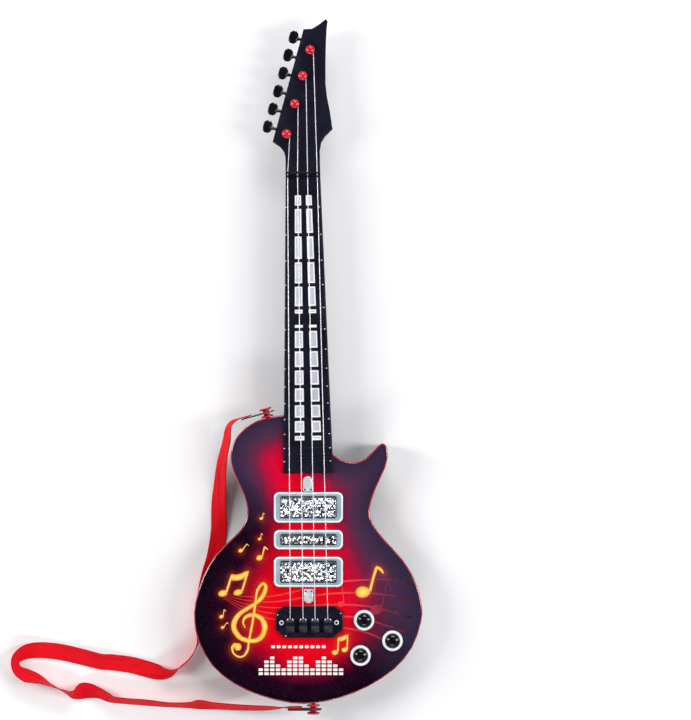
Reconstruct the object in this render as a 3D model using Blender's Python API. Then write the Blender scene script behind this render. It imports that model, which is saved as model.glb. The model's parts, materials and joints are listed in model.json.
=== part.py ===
"""Toy electric guitar: tapered rear shell, red front shell, lit fingerboard, buttons and a webbing strap.

The guitar lies on its flat back. +Z comes out of the strings, +Y points to the headstock and the origin is on
the back, midway along the body. Every length below is in millimetres; MM turns it into metres.
"""

import math

import bmesh
import bpy
from mathutils import Matrix, Vector

MM = 0.001
GAP = 0.3
WALL = 2.0

# Body: heights of the two shells, and how far the back is drawn in from the rim.
SHELL_SPLIT = 26.0
FACE_Z = 36.0
PLATE_UNDERSIDE = FACE_Z - WALL
FACE_CUT = (PLATE_UNDERSIDE - 2.0, FACE_Z + 2.0)
BACK_ROUNDING = 2.2
TAPER_TOP = 24.0
FULL_ROUNDING_TAPER = 6.0

# Rim of the body as (x, y, taper): the last value is how far the back is drawn in behind that point.
RIM = [
    (-23.2, 136.5, 8), (-34.5, 134.9, 10), (-48.0, 131.1, 12), (-58.9, 124.6, 12), (-67.0, 116.5, 12),
    (-71.9, 107.9, 12), (-73.5, 97.0, 12), (-72.2, 88.2, 12), (-69.7, 80.3, 12), (-65.5, 71.3, 12),
    (-60.7, 60.3, 12), (-57.8, 48.4, 12), (-59.0, 37.5, 12), (-64.4, 28.3, 12), (-70.5, 21.7, 12),
    (-87.3, 4.7, 12), (-99.1, -15.4, 12), (-106.6, -40.0, 12), (-107.6, -58.0, 12), (-103.6, -77.0, 12),
    (-90.8, -99.6, 12), (-70.5, -116.4, 12), (-45.2, -128.1, 12), (-16.7, -134.9, 12), (6.9, -134.9, 12),
    (30.4, -129.9, 12), (55.7, -119.6, 12), (80.9, -103.0, 12), (97.6, -82.8, 12), (106.1, -59.3, 12),
    (107.0, -43.0, 12), (101.1, -20.5, 12), (89.3, -0.4, 12), (72.5, 18.2, 12), (60.8, 33.3, 12),
    (57.7, 48.4, 12), (64.1, 68.8, 11), (72.5, 87.1, 8), (75.0, 100.6, 4), (73.2, 107.6, 2.4),
    (70.0, 109.8, 2.4), (65.0, 107.0, 2.4), (54.0, 95.5, 5), (42.2, 91.8, 7), (30.4, 94.7, 8),
    (22.0, 100.6, 8),
]
HORN_TIP = ((73.2, 107.6), (70.0, 109.8), (65.0, 107.0))

# Neck, in its own frame: u across, v from the end of the fingerboard on the body towards the headstock.
NECK_START = (0.0, 82.3)
NECK_LEAN = math.radians(1.06)
NECK_HALF_AT_BODY = 23.4
NECK_HALF_AT_NUT = 16.4
NUT_V = 277.3
NUT_LENGTH = 5.5
NECK_SPLIT = 30.7
NECK_BACK = 17.3
HEAD_BACK = 25.0
HEAD_FACE = 36.0
BOARD_TOP = 41.0
BOARD_EDGE = 0.4
FIRST_FRET = 27.5
FRET_RATIO = 0.9405
FRETS = 14
FRET_BAR = 2.5
WINDOW_GROUPS = {"upper": (149.6, 261.3), "lower": (30.3, 139.5)}
WINDOW_ENDS = (30.7, 261.5)
WINDOW_EDGES = ((-12.5, -8.3), (-2.8, -1.7), (3.5, 2.0), (13.0, 8.2))
HEAD_OUTLINE = [
    (16.2, 285.0), (16.2, 303.0), (17.6, 310.6), (21.3, 316.4), (28.6, 323.4), (26.6, 339.2), (24.0, 353.7),
    (22.8, 366.2), (23.2, 387.4), (24.0, 406.6), (24.9, 419.1), (25.8, 425.0), (23.9, 426.6), (18.1, 422.0),
    (11.2, 417.9), (3.1, 417.6), (-27.9, 312.4), (-21.0, 307.4), (-17.4, 302.6), (-16.2, 297.0),
    (-16.2, 285.0),
]
TUNER_OUT = Vector((-0.954, 0.300, 0.0))
TUNER_AXIS_Z = 30.85
TUNERS = ((-6.6, 410.7), (-12.0, 393.9), (-17.1, 377.1), (-22.2, 360.1), (-27.4, 343.4), (-32.6, 326.9))
POSTS = ((-14.6, 318.9), (-6.4, 347.1), (1.5, 373.2), (8.9, 397.5))
POST_SHAFT = 2.4

# Strings: x at the nut and at the bridge, and the heights that they run at.
STRING_RADIUS = 0.4
STRINGS = ((-19.4, -17.0), (-10.1, -4.9), (-0.7, 6.4), (8.4, 18.4))
STRING_NUT = (362.6, 43.4)
STRING_BRIDGE = (-58.0, 44.3)
STRING_POST_Z = 39.0

# Pickups: y of the middle, outer height and window height. All are PICKUP_WIDTH wide.
PICKUP_WIDTH = 65.0
PICKUP_TOP = 39.3
PICKUPS = ((49.7, 28.8, 21.1), (19.3, 18.2, 10.6), (-11.0, 28.4, 21.1))
PICKUP_WINDOW = 54.0
FACET = 5.0
EMITTER_X = -0.45
RECEIVER_X = 0.25

# Bridge, buttons, strap buttons and what is inside the body.
BRIDGE_OUTLINE = [
    (-22.9, -43.3), (24.6, -43.3), (32.6, -49.3), (32.6, -65.1), (23.6, -73.1), (-21.9, -73.1),
    (-30.9, -65.1), (-30.9, -49.3),
]
BRIDGE_TOP = 39.0
SADDLE_WIDTH = 7.7
SADDLE_TOP = 46.6
BRIDGE_SCREWS = ((-25.2, -58.7), (26.4, -58.5))
BUTTONS = ((52.4, -56.6), (79.1, -75.9), (49.0, -89.8))
SPOOL_Z = 31.0
SPOOLS = {"upper": ((-39.9, 138.7), (-0.270, 0.963)), "lower": ((4.5, -141.1), (0.0, -1.0))}
SPOOL_HALF = 4.5
SPEAKER = (-58.0, -45.0)
SPEAKER_RADIUS = 25.0
SHELL_SCREWS = ((-50.0, 110.0), (56.0, 84.0), (-64.0, -98.0), (82.0, -28.0))
CELL_RADIUS = 7.1
CELL_PITCH = 15.4
CELLS_Y = (-74.0, -24.0)
BAY = (-24.6, 24.6, -79.0, -19.0)
BAY_DEPTH = 18.3
DOOR = (-26.6, 26.6, -88.0, -17.4)
DOOR_BOTTOM = 0.3
DOOR_TOP = 2.3
DOOR_SCREW_Y = -84.0
SWITCH = (58.0, -4.0)
SWITCH_TRAVEL = 4.0

# Strap: webbing, and its middle line as (x, y, z, lean). Lean 0 lies flat and 90 stands on edge.
STRAP_WIDTH = 15.5
STRAP_THICKNESS = 1.2
STRAP_ROUTE = [
    (-53.8, 136.4, 31.0, 90), (-59.6, 134.7, 31.0, 90), (-64.4, 133.4, 31.0, 90), (-69.2, 131.1, 30.6, 84),
    (-73.4, 127.5, 29.2, 74), (-75.9, 121.6, 27.2, 66), (-77.4, 112.4, 24.0, 60), (-79.9, 102.0, 20.6, 58),
    (-82.0, 91.6, 16.8, 51), (-83.6, 80.0, 12.8, 45), (-84.8, 68.0, 9.2, 40), (-85.8, 56.0, 6.2, 30),
    (-86.0, 43.5, 3.8, 20), (-85.8, 27.5, 1.6, 4), (-87.6, 12.6, 1.2, -3), (-90.3, -0.6, 2.0, -10),
    (-94.9, -14.6, 3.6, -26), (-99.4, -27.6, 5.8, -46), (-102.4, -40.6, 7.7, -61),
    (-103.8, -54.7, 8.2, -66), (-104.4, -66.8, 8.4, -74), (-105.3, -79.9, 8.5, -86),
    (-109.0, -89.3, 8.5, -90), (-113.1, -95.4, 8.5, -90), (-117.7, -100.1, 8.5, -90),
    (-123.5, -104.6, 8.4, -88), (-129.8, -108.2, 7.8, -68), (-137.6, -109.8, 5.4, -36),
    (-146.9, -108.7, 2.4, -10), (-157.1, -105.9, 1.6, -2), (-170.8, -102.4, 1.4, 0),
    (-188.0, -100.1, 2.0, -6), (-199.4, -99.2, 2.6, -11), (-218.6, -94.4, 1.8, -6),
    (-237.7, -90.2, 1.6, -4), (-255.7, -88.4, 2.4, -8), (-269.0, -89.8, 4.0, -24),
    (-277.4, -94.8, 6.8, -50), (-279.7, -101.4, 8.0, -68), (-276.3, -108.1, 7.6, -60),
    (-269.0, -112.2, 6.4, -44), (-260.3, -114.8, 7.4, -58), (-252.6, -117.7, 8.4, -78),
    (-246.1, -120.9, 8.6, -90), (-233.9, -126.6, 8.4, -104), (-226.4, -129.6, 8.0, -118),
    (-220.6, -128.6, 5.4, -148), (-215.0, -127.0, 2.6, -172), (-208.0, -126.9, 4.4, -158),
    (-200.1, -128.8, 6.4, -138), (-192.0, -132.6, 7.2, -130), (-185.5, -135.1, 7.6, -120),
    (-173.8, -136.4, 7.8, -117), (-153.8, -137.9, 7.8, -118), (-133.7, -139.8, 8.0, -113),
    (-114.7, -140.2, 8.0, -117), (-105.6, -139.7, 7.4, -130), (-97.5, -140.0, 8.2, -127),
    (-89.3, -140.6, 10.0, -121), (-65.2, -141.4, 15.6, -117), (-45.5, -141.2, 21.4, -114),
    (-32.3, -140.4, 26.0, -108), (-21.5, -139.5, 29.2, -95), (-14.0, -139.5, 30.6, -90),
    (-6.5, -139.5, 31.0, -90),
]
STRAP_CLEARANCE = 0.2
TAB_REACH = 24.0


def clear_scene():
    for item in list(bpy.data.objects):
        bpy.data.objects.remove(item, do_unlink=True)


def principled(name, color, roughness, metallic=0.0, transmission=0.0):
    material = bpy.data.materials.new(name)
    material.use_nodes = True
    shader = material.node_tree.nodes["Principled BSDF"]
    shader.inputs["Base Color"].default_value = (*color, 1.0)
    shader.inputs["Roughness"].default_value = roughness
    shader.inputs["Metallic"].default_value = metallic
    shader.inputs["Transmission Weight"].default_value = transmission
    return material


# Outlines and curves


def catmull_rom(before, start, end, after, share):
    """A point on the smooth curve from start to end, for tuples of any length."""
    squared = share * share
    cubed = squared * share
    return tuple(
        0.5 * (2 * b + (c - a) * share + (2 * a - 5 * b + 4 * c - d) * squared
               + (3 * b - a - 3 * c + d) * cubed)
        for a, b, c, d in zip(before, start, end, after)
    )


def smooth_line(points, steps):
    """An open smooth curve through every point, with `steps` pieces between neighbours."""
    padded = [points[0], *points, points[-1]]
    line = []
    for index in range(len(points) - 1):
        for step in range(steps):
            line.append(catmull_rom(*padded[index:index + 4], step / steps))
    line.append(tuple(points[-1]))
    return line


def inward(points, index):
    """The direction into the body at a point of a rim that is walked with the body on its left."""
    here = Vector(points[index][:2])
    before = Vector(points[max(index - 1, 0)][:2])
    after = Vector(points[min(index + 1, len(points) - 1)][:2])
    along = (after - before).normalized() if after != before else (after - here).normalized()
    return Vector((-along.y, along.x))


def rim_outline(draw_in, wall, taper_share):
    """The rim moved in by a fixed amount, by a wall and by a share of each point's own taper."""
    chosen = [index for index, (x, y, _) in enumerate(RIM) if not wall or (x, y) not in HORN_TIP]
    points = []
    for index in chosen:
        x, y, taper = RIM[index]
        rounding = draw_in * min(1.0, taper / FULL_ROUNDING_TAPER)
        moved = Vector((x, y)) + inward(RIM, index) * (rounding + wall + taper * taper_share)
        points.append((moved.x, moved.y))
    return smooth_line(points, 2)


def rounded_rectangle(width, height, radius, steps=4, middle=(0.0, 0.0)):
    points = []
    for quarter in range(4):
        start = quarter * math.pi / 2
        corner_x = (width / 2 - radius) * (1 if quarter in (0, 3) else -1)
        corner_y = (height / 2 - radius) * (1 if quarter in (0, 1) else -1)
        for step in range(steps + 1):
            angle = start + step / steps * math.pi / 2
            x = middle[0] + corner_x + radius * math.cos(angle)
            y = middle[1] + corner_y + radius * math.sin(angle)
            points.append((x, y))
    return points


def circle(radius, steps, middle=(0.0, 0.0)):
    angles = [2 * math.pi * step / steps for step in range(steps)]
    return [(middle[0] + radius * math.cos(a), middle[1] + radius * math.sin(a)) for a in angles]


def fret_positions():
    """v of each fret bar, from the nut down."""
    positions = []
    v = NUT_V
    gap = FIRST_FRET
    for _ in range(FRETS):
        v -= gap
        gap *= FRET_RATIO
        positions.append(v)
    return positions


def neck_half(v):
    return NECK_HALF_AT_BODY + (NECK_HALF_AT_NUT - NECK_HALF_AT_BODY) * v / NUT_V


def neck_strip(v0, v1, draw_in):
    """Outline of a stretch of the neck, narrower than the neck by draw_in on each side."""
    wide = neck_half(v0) - draw_in
    narrow = neck_half(v1) - draw_in
    return [(-wide, v0), (wide, v0), (narrow, v1), (-narrow, v1)]


def neck_outline():
    return [(-NECK_HALF_AT_BODY, 0.0), (NECK_HALF_AT_BODY, 0.0), *HEAD_OUTLINE]


def windows_between(low, high):
    """Stretches of v between the fret bars inside a window group."""
    cuts = sorted(v for v in fret_positions() if low < v < high)
    starts = [low, *[v + FRET_BAR / 2 for v in cuts]]
    ends = [*[v - FRET_BAR / 2 for v in cuts], high]
    return list(zip(starts, ends))


def window_columns(v):
    """Left and right edges of both window columns at v."""
    share = (v - WINDOW_ENDS[0]) / (WINDOW_ENDS[1] - WINDOW_ENDS[0])
    edges = [wide + (narrow - wide) * share for wide, narrow in WINDOW_EDGES]
    return edges[0:2], edges[2:4]


def window_outlines(low, high, draw_in):
    outlines = []
    for start, end in windows_between(low, high):
        for column in range(2):
            bottom = window_columns(start)[column]
            top = window_columns(end)[column]
            outlines.append([
                (bottom[0] + draw_in, start + draw_in), (bottom[1] - draw_in, start + draw_in),
                (top[1] - draw_in, end - draw_in), (top[0] + draw_in, end - draw_in),
            ])
    return outlines


# Solids, built in millimetres


def add_loft(mesh, rings, closed=False):
    """Skins a row of equal rings of points, with flat ends unless the row closes on itself."""
    rows = [[mesh.verts.new(point) for point in ring] for ring in rings]
    pairs = list(zip(rows, rows[1:] + rows[:1] if closed else rows[1:]))
    for low, high in pairs:
        for index in range(len(low)):
            after = (index + 1) % len(low)
            mesh.faces.new((low[index], low[after], high[after], high[index]))
    if not closed:
        mesh.faces.new(rows[0])
        mesh.faces.new(rows[-1])


def add_prism(mesh, outline, bottom, top):
    add_loft(mesh, [[(x, y, z) for x, y in outline] for z in (bottom, top)])


def add_block(mesh, x0, x1, y0, y1, z0, z1):
    add_prism(mesh, [(x0, y0), (x1, y0), (x1, y1), (x0, y1)], z0, z1)


def add_turned(mesh, profile, steps, middle=(0.0, 0.0), closed=False):
    """Turns (radius, height) pairs about a vertical line. A closed profile makes a ring with a bore."""
    rings = [[(x, y, z) for x, y in circle(radius, steps, middle)] for radius, z in profile]
    add_loft(mesh, rings, closed)


def solid(build, *arguments):
    """A new mesh made by one of the add_ functions."""
    mesh = bmesh.new()
    build(mesh, *arguments)
    return mesh


def place(name, mesh, parent=None, at=(0.0, 0.0, 0.0), turn=None):
    """An object from a mesh in millimetres. Its origin is `at`, in the frame of its parent."""
    bmesh.ops.recalc_face_normals(mesh, faces=mesh.faces)
    bmesh.ops.scale(mesh, vec=(MM, MM, MM), verts=mesh.verts)
    data = bpy.data.meshes.new(name)
    mesh.to_mesh(data)
    mesh.free()
    item = bpy.data.objects.new(name, data)
    bpy.context.scene.collection.objects.link(item)
    item.parent = parent
    item.location = Vector(at) * MM
    if turn:
        item.rotation_euler = turn
    return item


def piece(name, mesh, material, parent=None, at=(0.0, 0.0, 0.0), turn=None):
    item = place(name, mesh, parent, at, turn)
    item.data.materials.append(material)
    item.data.shade_smooth()
    item.data.set_sharp_from_angle(angle=math.radians(35))
    return item


def change(item, operation, mesh, label, neck=None):
    """Adds or removes the volume of a helper, which shares the item's own frame or stands in the neck's."""
    if neck:
        helper = place(f"{item.name}_{label}", mesh, neck)
    else:
        helper = place(f"{item.name}_{label}", mesh, item.parent, item.location / MM, item.rotation_euler)
    helper.hide_render = True
    helper.display_type = "WIRE"
    modifier = item.modifiers.new(label, "BOOLEAN")
    modifier.operation = operation
    modifier.solver = "EXACT"
    modifier.object = helper


def add(item, mesh, label):
    change(item, "UNION", mesh, label)


def cut(item, mesh, label, neck=None):
    change(item, "DIFFERENCE", mesh, label, neck)


# Body shells


def belly_rings(grow):
    """Cross sections of the rounded back of the neck, from the body to behind the nut."""
    sections = ((0.0 - grow, NECK_HALF_AT_BODY, NECK_BACK), (250.0, neck_half(250.0), NECK_BACK + 1.5),
                (272.0, 16.3, NECK_BACK + 2.6), (293.0, 14.8, HEAD_BACK + 1.0))
    top = 27.9 + grow
    rings = []
    for v, half, back in sections:
        reach = half + grow - BOARD_EDGE
        low = back - grow
        right = ((1.0, 1.0), (1.0, 0.86), (0.93, 0.52), (0.76, 0.2), (0.46, 0.0))
        left = tuple((-share, rise) for share, rise in reversed(right))
        rings.append([(reach * share, v, low + (top - low) * rise) for share, rise in right + left])
    return rings


def neck_pocket(bottom):
    pocket = bmesh.new()
    add_prism(pocket, neck_strip(-GAP, 70.0, -GAP), bottom, 50.0)
    return pocket


def make_front_shell(red, neck):
    low = SHELL_SPLIT + GAP
    outer = bmesh.new()
    rim = ((low, 0.0), (FACE_Z - 1.2, 0.0), (FACE_Z - 0.35, 0.35), (FACE_Z, 1.2))
    add_loft(outer, [[(x, y, z) for x, y in rim_outline(draw_in, 0, 0)] for z, draw_in in rim])
    shell = piece("front_shell", outer, red)
    cut(shell, solid(add_prism, rim_outline(0, WALL, 0), low - 2, PLATE_UNDERSIDE), "cavity")
    bosses = bmesh.new()
    for x, y in SHELL_SCREWS:
        add_turned(bosses, ((4.0, low), (4.0, PLATE_UNDERSIDE + 1)), 12, (x, y))
    add(shell, bosses, "bosses")
    holes = bmesh.new()
    for x, y in SHELL_SCREWS:
        add_turned(holes, ((1.8, low - 2), (1.8, PLATE_UNDERSIDE - 1)), 10, (x, y))
    for middle, height, _ in PICKUPS:
        outline = rounded_rectangle(PICKUP_WIDTH - 4, height - 4, 3.5, 3, (0.0, middle))
        add_prism(holes, outline, *FACE_CUT)
    for middle in BUTTONS:
        add_turned(holes, [(8.6, z) for z in FACE_CUT], 20, middle)
    for outline in (emitter_outline(GAP), receiver_outline(GAP)):
        add_prism(holes, outline, *FACE_CUT)
    for middle in BRIDGE_SCREWS:
        add_turned(holes, [(1.2, z) for z in FACE_CUT], 8, middle)
    cut(shell, holes, "holes")
    cut(shell, spool_bores(), "spool_bores")
    cut(shell, neck_pocket(SHELL_SPLIT - WALL), "pocket", neck)
    return shell


def spool_bores():
    bores = bmesh.new()
    for (x, y), (out_x, out_y) in SPOOLS.values():
        bore = bmesh.new()
        add_turned(bore, ((2.6, -20.0), (2.6, 2.0)), 10)
        bore.transform(spool_matrix(x, y, out_x, out_y))
        join_mesh(bores, bore)
    return bores


def join_mesh(target, other):
    """Moves everything in one bmesh into another."""
    copy = bpy.data.meshes.new("joining")
    other.to_mesh(copy)
    other.free()
    target.from_mesh(copy)
    bpy.data.meshes.remove(copy)


def spool_matrix(x, y, out_x, out_y):
    """Places a piece turned about Z so that its axis points out of the rim, at the strap buttons' height."""
    turn = Vector((0, 0, 1)).rotation_difference(Vector((out_x, out_y, 0))).to_matrix().to_4x4()
    return Matrix.Translation((x, y, SPOOL_Z)) @ turn


def make_rear_shell(black, neck):
    outer = bmesh.new()
    back = ((0.0, BACK_ROUNDING, 1.0), (0.7, 0.7, 1.0), (BACK_ROUNDING, 0.0, 1.0), (TAPER_TOP, 0.0, 0.0),
            (SHELL_SPLIT, 0.0, 0.0))
    add_loft(outer, [[(x, y, z) for x, y in rim_outline(draw_in, 0, share)] for z, draw_in, share in back])
    shell = piece("rear_shell", outer, black)
    cavity = bmesh.new()
    inside = ((WALL, 0.5, 1.0), (TAPER_TOP, 0.0, 0.0), (SHELL_SPLIT + 2, 0.0, 0.0))
    rings = [[(x, y, z) for x, y in rim_outline(draw_in, WALL, share)] for z, draw_in, share in inside]
    add_loft(cavity, rings)
    cut(shell, cavity, "cavity")
    supports = bmesh.new()
    for x, y in SHELL_SCREWS:
        add_turned(supports, ((4.8, 1.0), (4.8, SHELL_SPLIT)), 12, (x, y))
    x0, x1, y0, y1 = BAY
    add_block(supports, x0 - WALL, x1 + WALL, y0 - WALL, y1 + WALL, 1.0, BAY_DEPTH + WALL)
    add(shell, supports, "supports")
    ledge = bmesh.new()
    add_block(ledge, DOOR[0] - 1.4, DOOR[1] + 1.4, DOOR[2] - WALL, y0 - 1.0, 1.1, 9.0)
    add(shell, ledge, "screw_ledge")
    openings = bmesh.new()
    for x, y in SHELL_SCREWS:
        add_turned(openings, ((3.4, -1.0), (3.4, 5.0), (1.8, 5.0), (1.8, SHELL_SPLIT + 2)), 12, (x, y))
    add_block(openings, DOOR[0] - GAP, DOOR[1] + GAP, DOOR[2] - GAP, DOOR[3] + GAP, -1.0, DOOR_TOP + GAP)
    slot = (SWITCH[0] - 2.3, SWITCH[0] + SWITCH_TRAVEL + 2.3, SWITCH[1] - 2.1, SWITCH[1] + 2.1)
    add_block(openings, *slot, -1.0, 3.0)
    for row in range(-3, 4):
        reach = math.sqrt(20.0 ** 2 - (row * 5.6) ** 2)
        y = SPEAKER[1] + row * 5.6
        add_block(openings, SPEAKER[0] - reach, SPEAKER[0] + reach, y - 1.3, y + 1.3, -1.0, 3.0)
    cut(shell, openings, "openings")
    bay = bmesh.new()
    add_block(bay, x0, x1, y0, y1, 1.0, BAY_DEPTH)
    add_turned(bay, ((1.5, 1.0), (1.5, 7.5)), 10, (0.0, DOOR_SCREW_Y))
    cut(shell, bay, "battery_bay")
    cut(shell, neck_pocket(HEAD_BACK - GAP), "pocket", neck)
    cut(shell, solid(add_loft, belly_rings(GAP)), "heel", neck)
    return shell


# Neck and headstock


def tuner_matrix(u, v):
    """A tuner key's own frame: its x axis runs out along the shaft."""
    turn = math.atan2(TUNER_OUT.y, TUNER_OUT.x)
    return Matrix.Translation((u, v, TUNER_AXIS_Z)) @ Matrix.Rotation(turn, 4, "Z")


def tuner_bores():
    bores = bmesh.new()
    for u, v in TUNERS:
        bore = bmesh.new()
        add_turned(bore, ((1.9, -15.5), (1.9, 4.0)), 8)
        bore.transform(tuner_matrix(u, v) @ Matrix.Rotation(math.pi / 2, 4, "Y"))
        join_mesh(bores, bore)
    return bores


def post_bores(bottom, top):
    bores = bmesh.new()
    for u, v in POSTS:
        add_turned(bores, ((POST_SHAFT + GAP, bottom), (POST_SHAFT + GAP, top)), 12, (u, v))
    return bores


def make_fingerboard(black, neck):
    base = solid(add_prism, neck_outline(), NECK_SPLIT + GAP, HEAD_FACE)
    board = piece("fingerboard", base, black, neck)
    raised = bmesh.new()
    strip = neck_strip(BOARD_EDGE, NUT_V, BOARD_EDGE)
    edge = neck_strip(BOARD_EDGE, NUT_V, BOARD_EDGE + 0.6)
    add_loft(raised, [[(u, v, 34.0) for u, v in strip], [(u, v, BOARD_TOP - 0.6) for u, v in strip],
                      [(u, v, BOARD_TOP) for u, v in edge]])
    add(board, raised, "raised_board")
    bars = bmesh.new()
    for v in fret_positions():
        reach = neck_half(v) - 1.2
        add_block(bars, -reach, reach, v - 0.8, v + 0.8, BOARD_TOP - 1, BOARD_TOP + 0.5)
    add(board, bars, "fret_bars")
    cut(board, solid(add_prism, neck_strip(4.0, 266.0, 3.0), 30.0, BOARD_TOP - 2.4), "light_channel")
    windows = bmesh.new()
    for low, high in WINDOW_GROUPS.values():
        for outline in window_outlines(low, high, 0.0):
            add_prism(windows, outline, BOARD_TOP - 3.5, BOARD_TOP + 2)
    cut(board, windows, "windows")
    cut(board, tuner_bores(), "tuner_bores")
    cut(board, post_bores(29.0, 38.0), "post_bores")
    return board


def make_neck_rear(black, neck):
    rear = piece("neck_rear", solid(add_prism, neck_outline(), HEAD_BACK, NECK_SPLIT), black, neck)
    add(rear, solid(add_loft, belly_rings(0.0)), "rounded_back")
    trough = bmesh.new()
    add_prism(trough, neck_strip(8.0, 256.0, 6.0), 22.0, 33.0)
    cut(rear, trough, "trough")
    cut(rear, tuner_bores(), "tuner_bores")
    cut(rear, post_bores(27.0, 33.0), "post_bores")
    return rear


def make_light_guide(name, group, milky, neck):
    low, high = WINDOW_GROUPS[group]
    bottom = window_columns(low)
    top = window_columns(high)
    margin = 1.2
    plate = [(bottom[0][0] - margin, low - margin), (bottom[1][1] + margin, low - margin),
             (top[1][1] + margin, high + margin), (top[0][0] - margin, high + margin)]
    guide = piece(name, solid(add_prism, plate, 36.4, BOARD_TOP - 2.4 - GAP), milky, neck)
    blocks = bmesh.new()
    for outline in window_outlines(low, high, GAP):
        add_prism(blocks, outline, 37.2, BOARD_TOP - 0.4)
    add(guide, blocks, "window_blocks")
    return guide


def make_neck_led_board(green, neck):
    board = piece("neck_led_board", solid(add_prism, neck_strip(6.0, 262.0, 3.6), 31.1, 32.7), green, neck)
    lamps = bmesh.new()
    for index in range(9):
        v = 40.0 + index * 26.0
        add_block(lamps, -2.5, 2.5, v - 2.5, v + 2.5, 32.0, 35.6)
    add(board, lamps, "lamps")
    return board


def make_nut(black, neck):
    mesh = bmesh.new()
    half = NECK_HALF_AT_NUT
    low = NUT_V + GAP
    high = NUT_V + NUT_LENGTH
    rings = ((HEAD_FACE + GAP, 0.0), (41.6, 0.0), (42.6, 0.8))
    add_loft(mesh, [[(-half, low, z), (half, low, z), (half, high - slope, z), (-half, high - slope, z)]
                    for z, slope in rings])
    return piece("nut", mesh, black, neck)


def make_string_post(index, red, neck):
    profile = ((POST_SHAFT, 27.6), (POST_SHAFT, 40.2), (4.3, 40.2), (4.3, 42.0), (3.6, 43.0), (1.6, 43.4))
    shifted = tuple((radius, z - HEAD_FACE) for radius, z in profile)
    u, v = POSTS[index]
    return piece(f"string_post_{index + 1}", solid(add_turned, shifted, 12), red, neck, (u, v, HEAD_FACE))


def make_tuner_key(index, black, neck):
    """A paddle with chamfered corners on a shaft. Its origin is on the shaft's line, in mid-paddle."""
    u, v = TUNERS[index]
    shaft = bmesh.new()
    add_turned(shaft, ((1.5, -14.5), (1.5, -5.0), (2.3, -5.0), (2.3, 0.0)), 8)
    shaft.transform(Matrix.Rotation(math.pi / 2, 4, "Y"))
    turn = (0.0, 0.0, math.atan2(TUNER_OUT.y, TUNER_OUT.x))
    key = piece(f"tuner_key_{index + 1}", shaft, black, neck, (u, v, TUNER_AXIS_Z), turn)
    corner = 2.4
    outline = [(-4.2, -6 + corner), (-4.2 + corner, -6), (4.2 - corner, -6), (4.2, -6 + corner),
               (4.2, 6 - corner), (4.2 - corner, 6), (-4.2 + corner, 6), (-4.2, 6 - corner)]
    paddle = bmesh.new()
    faces = ((-2.6, 0.82), (-2.0, 1.0), (2.0, 1.0), (2.6, 0.82))
    add_loft(paddle, [[(x * share, y * share, z) for x, y in outline] for z, share in faces])
    add(key, paddle, "paddle")
    return key


# Strings, pickups and bridge


def make_string(index, steel, neck):
    """A steel wire from beside its post, over the nut and into its saddle."""
    nut_x, bridge_x = STRINGS[index]
    u, v = POSTS[index]
    side = POST_SHAFT + GAP + STRING_RADIUS
    start = neck.matrix_basis @ (Vector((u + side, v, STRING_POST_Z)) * MM)
    points = [start, Vector((nut_x, *STRING_NUT)) * MM, Vector((bridge_x, *STRING_BRIDGE)) * MM]
    curve = bpy.data.curves.new(f"string_{index + 1}", "CURVE")
    curve.dimensions = "3D"
    curve.bevel_depth = STRING_RADIUS * MM
    curve.bevel_resolution = 1
    curve.use_fill_caps = True
    spline = curve.splines.new("POLY")
    spline.points.add(len(points) - 1)
    for point, place_of in zip(spline.points, points):
        point.co = (*place_of, 1.0)
    wire = bpy.data.objects.new(f"string_{index + 1}", curve)
    bpy.context.scene.collection.objects.link(wire)
    wire.data.materials.append(steel)
    return wire


def make_pickup_bezel(index, silver):
    middle, height, window = PICKUPS[index]
    bezel = bmesh.new()
    foot = FACE_Z - 1.2
    outside = ((foot, -2.4), (FACE_Z + GAP, -2.4), (FACE_Z + GAP, 0.0), (PICKUP_TOP - 1.0, 0.0),
               (PICKUP_TOP, -1.2))
    rings = []
    for z, grow in outside:
        outline = rounded_rectangle(PICKUP_WIDTH + 2 * grow, height + 2 * grow, 5.0 + grow, 3)
        rings.append([(x, y, z) for x, y in outline])
    for z, grow in ((PICKUP_TOP, 0.6), (foot, -1.2)):
        outline = rounded_rectangle(PICKUP_WINDOW + 2 * grow, window + 2 * grow, 2.2, 3)
        rings.append([(x, y, z) for x, y in outline])
    add_loft(bezel, rings, True)
    return piece(f"pickup_bezel_{index + 1}", bezel, silver, None, (0.0, middle, 0.0))


def make_pickup_lens(index, clear):
    """A plate with rows of small pyramids that shows in the bezel's window."""
    middle, _, window = PICKUPS[index]
    width = PICKUP_WINDOW - 3.4
    height = window - 3.4
    lens = bmesh.new()
    add_loft(lens, [[(x, y, z) for x, y in rounded_rectangle(width + grow, height + grow, 1.5, 2)]
                    for z, grow in ((32.2, 4.0), (33.8, 4.0), (33.8, 0.0), (36.6, 0.0))])
    item = piece(f"pickup_lens_{index + 1}", lens, clear, None, (0.0, middle, 0.0))
    columns = int((width - 1.0) // FACET)
    rows = max(1, int((height - 1.0) // FACET))
    facets = bmesh.new()
    for column in range(columns):
        for row in range(rows):
            x = (column - (columns - 1) / 2) * FACET
            y = (row - (rows - 1) / 2) * FACET
            half = FACET / 2 - 0.15
            base = [(x - half, y - half), (x + half, y - half), (x + half, y + half), (x - half, y + half)]
            tip = [(x + (a - x) * 0.2, y + (b - y) * 0.2) for a, b in base]
            add_loft(facets, [[(a, b, 36.0) for a, b in base], [(a, b, 38.2) for a, b in tip]])
    add(item, facets, "facets")
    return item


def make_pickup_led_board(green):
    board = piece("pickup_led_board", solid(add_block, -29.0, 29.0, -24.0, 63.0, 27.2, 28.8), green)
    lamps = bmesh.new()
    for middle, _, _ in PICKUPS:
        for x in (-18.0, 0.0, 18.0):
            add_block(lamps, x - 2.5, x + 2.5, middle - 2.5, middle + 2.5, 28.0, 31.6)
    add(board, lamps, "lamps")
    return board


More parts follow.
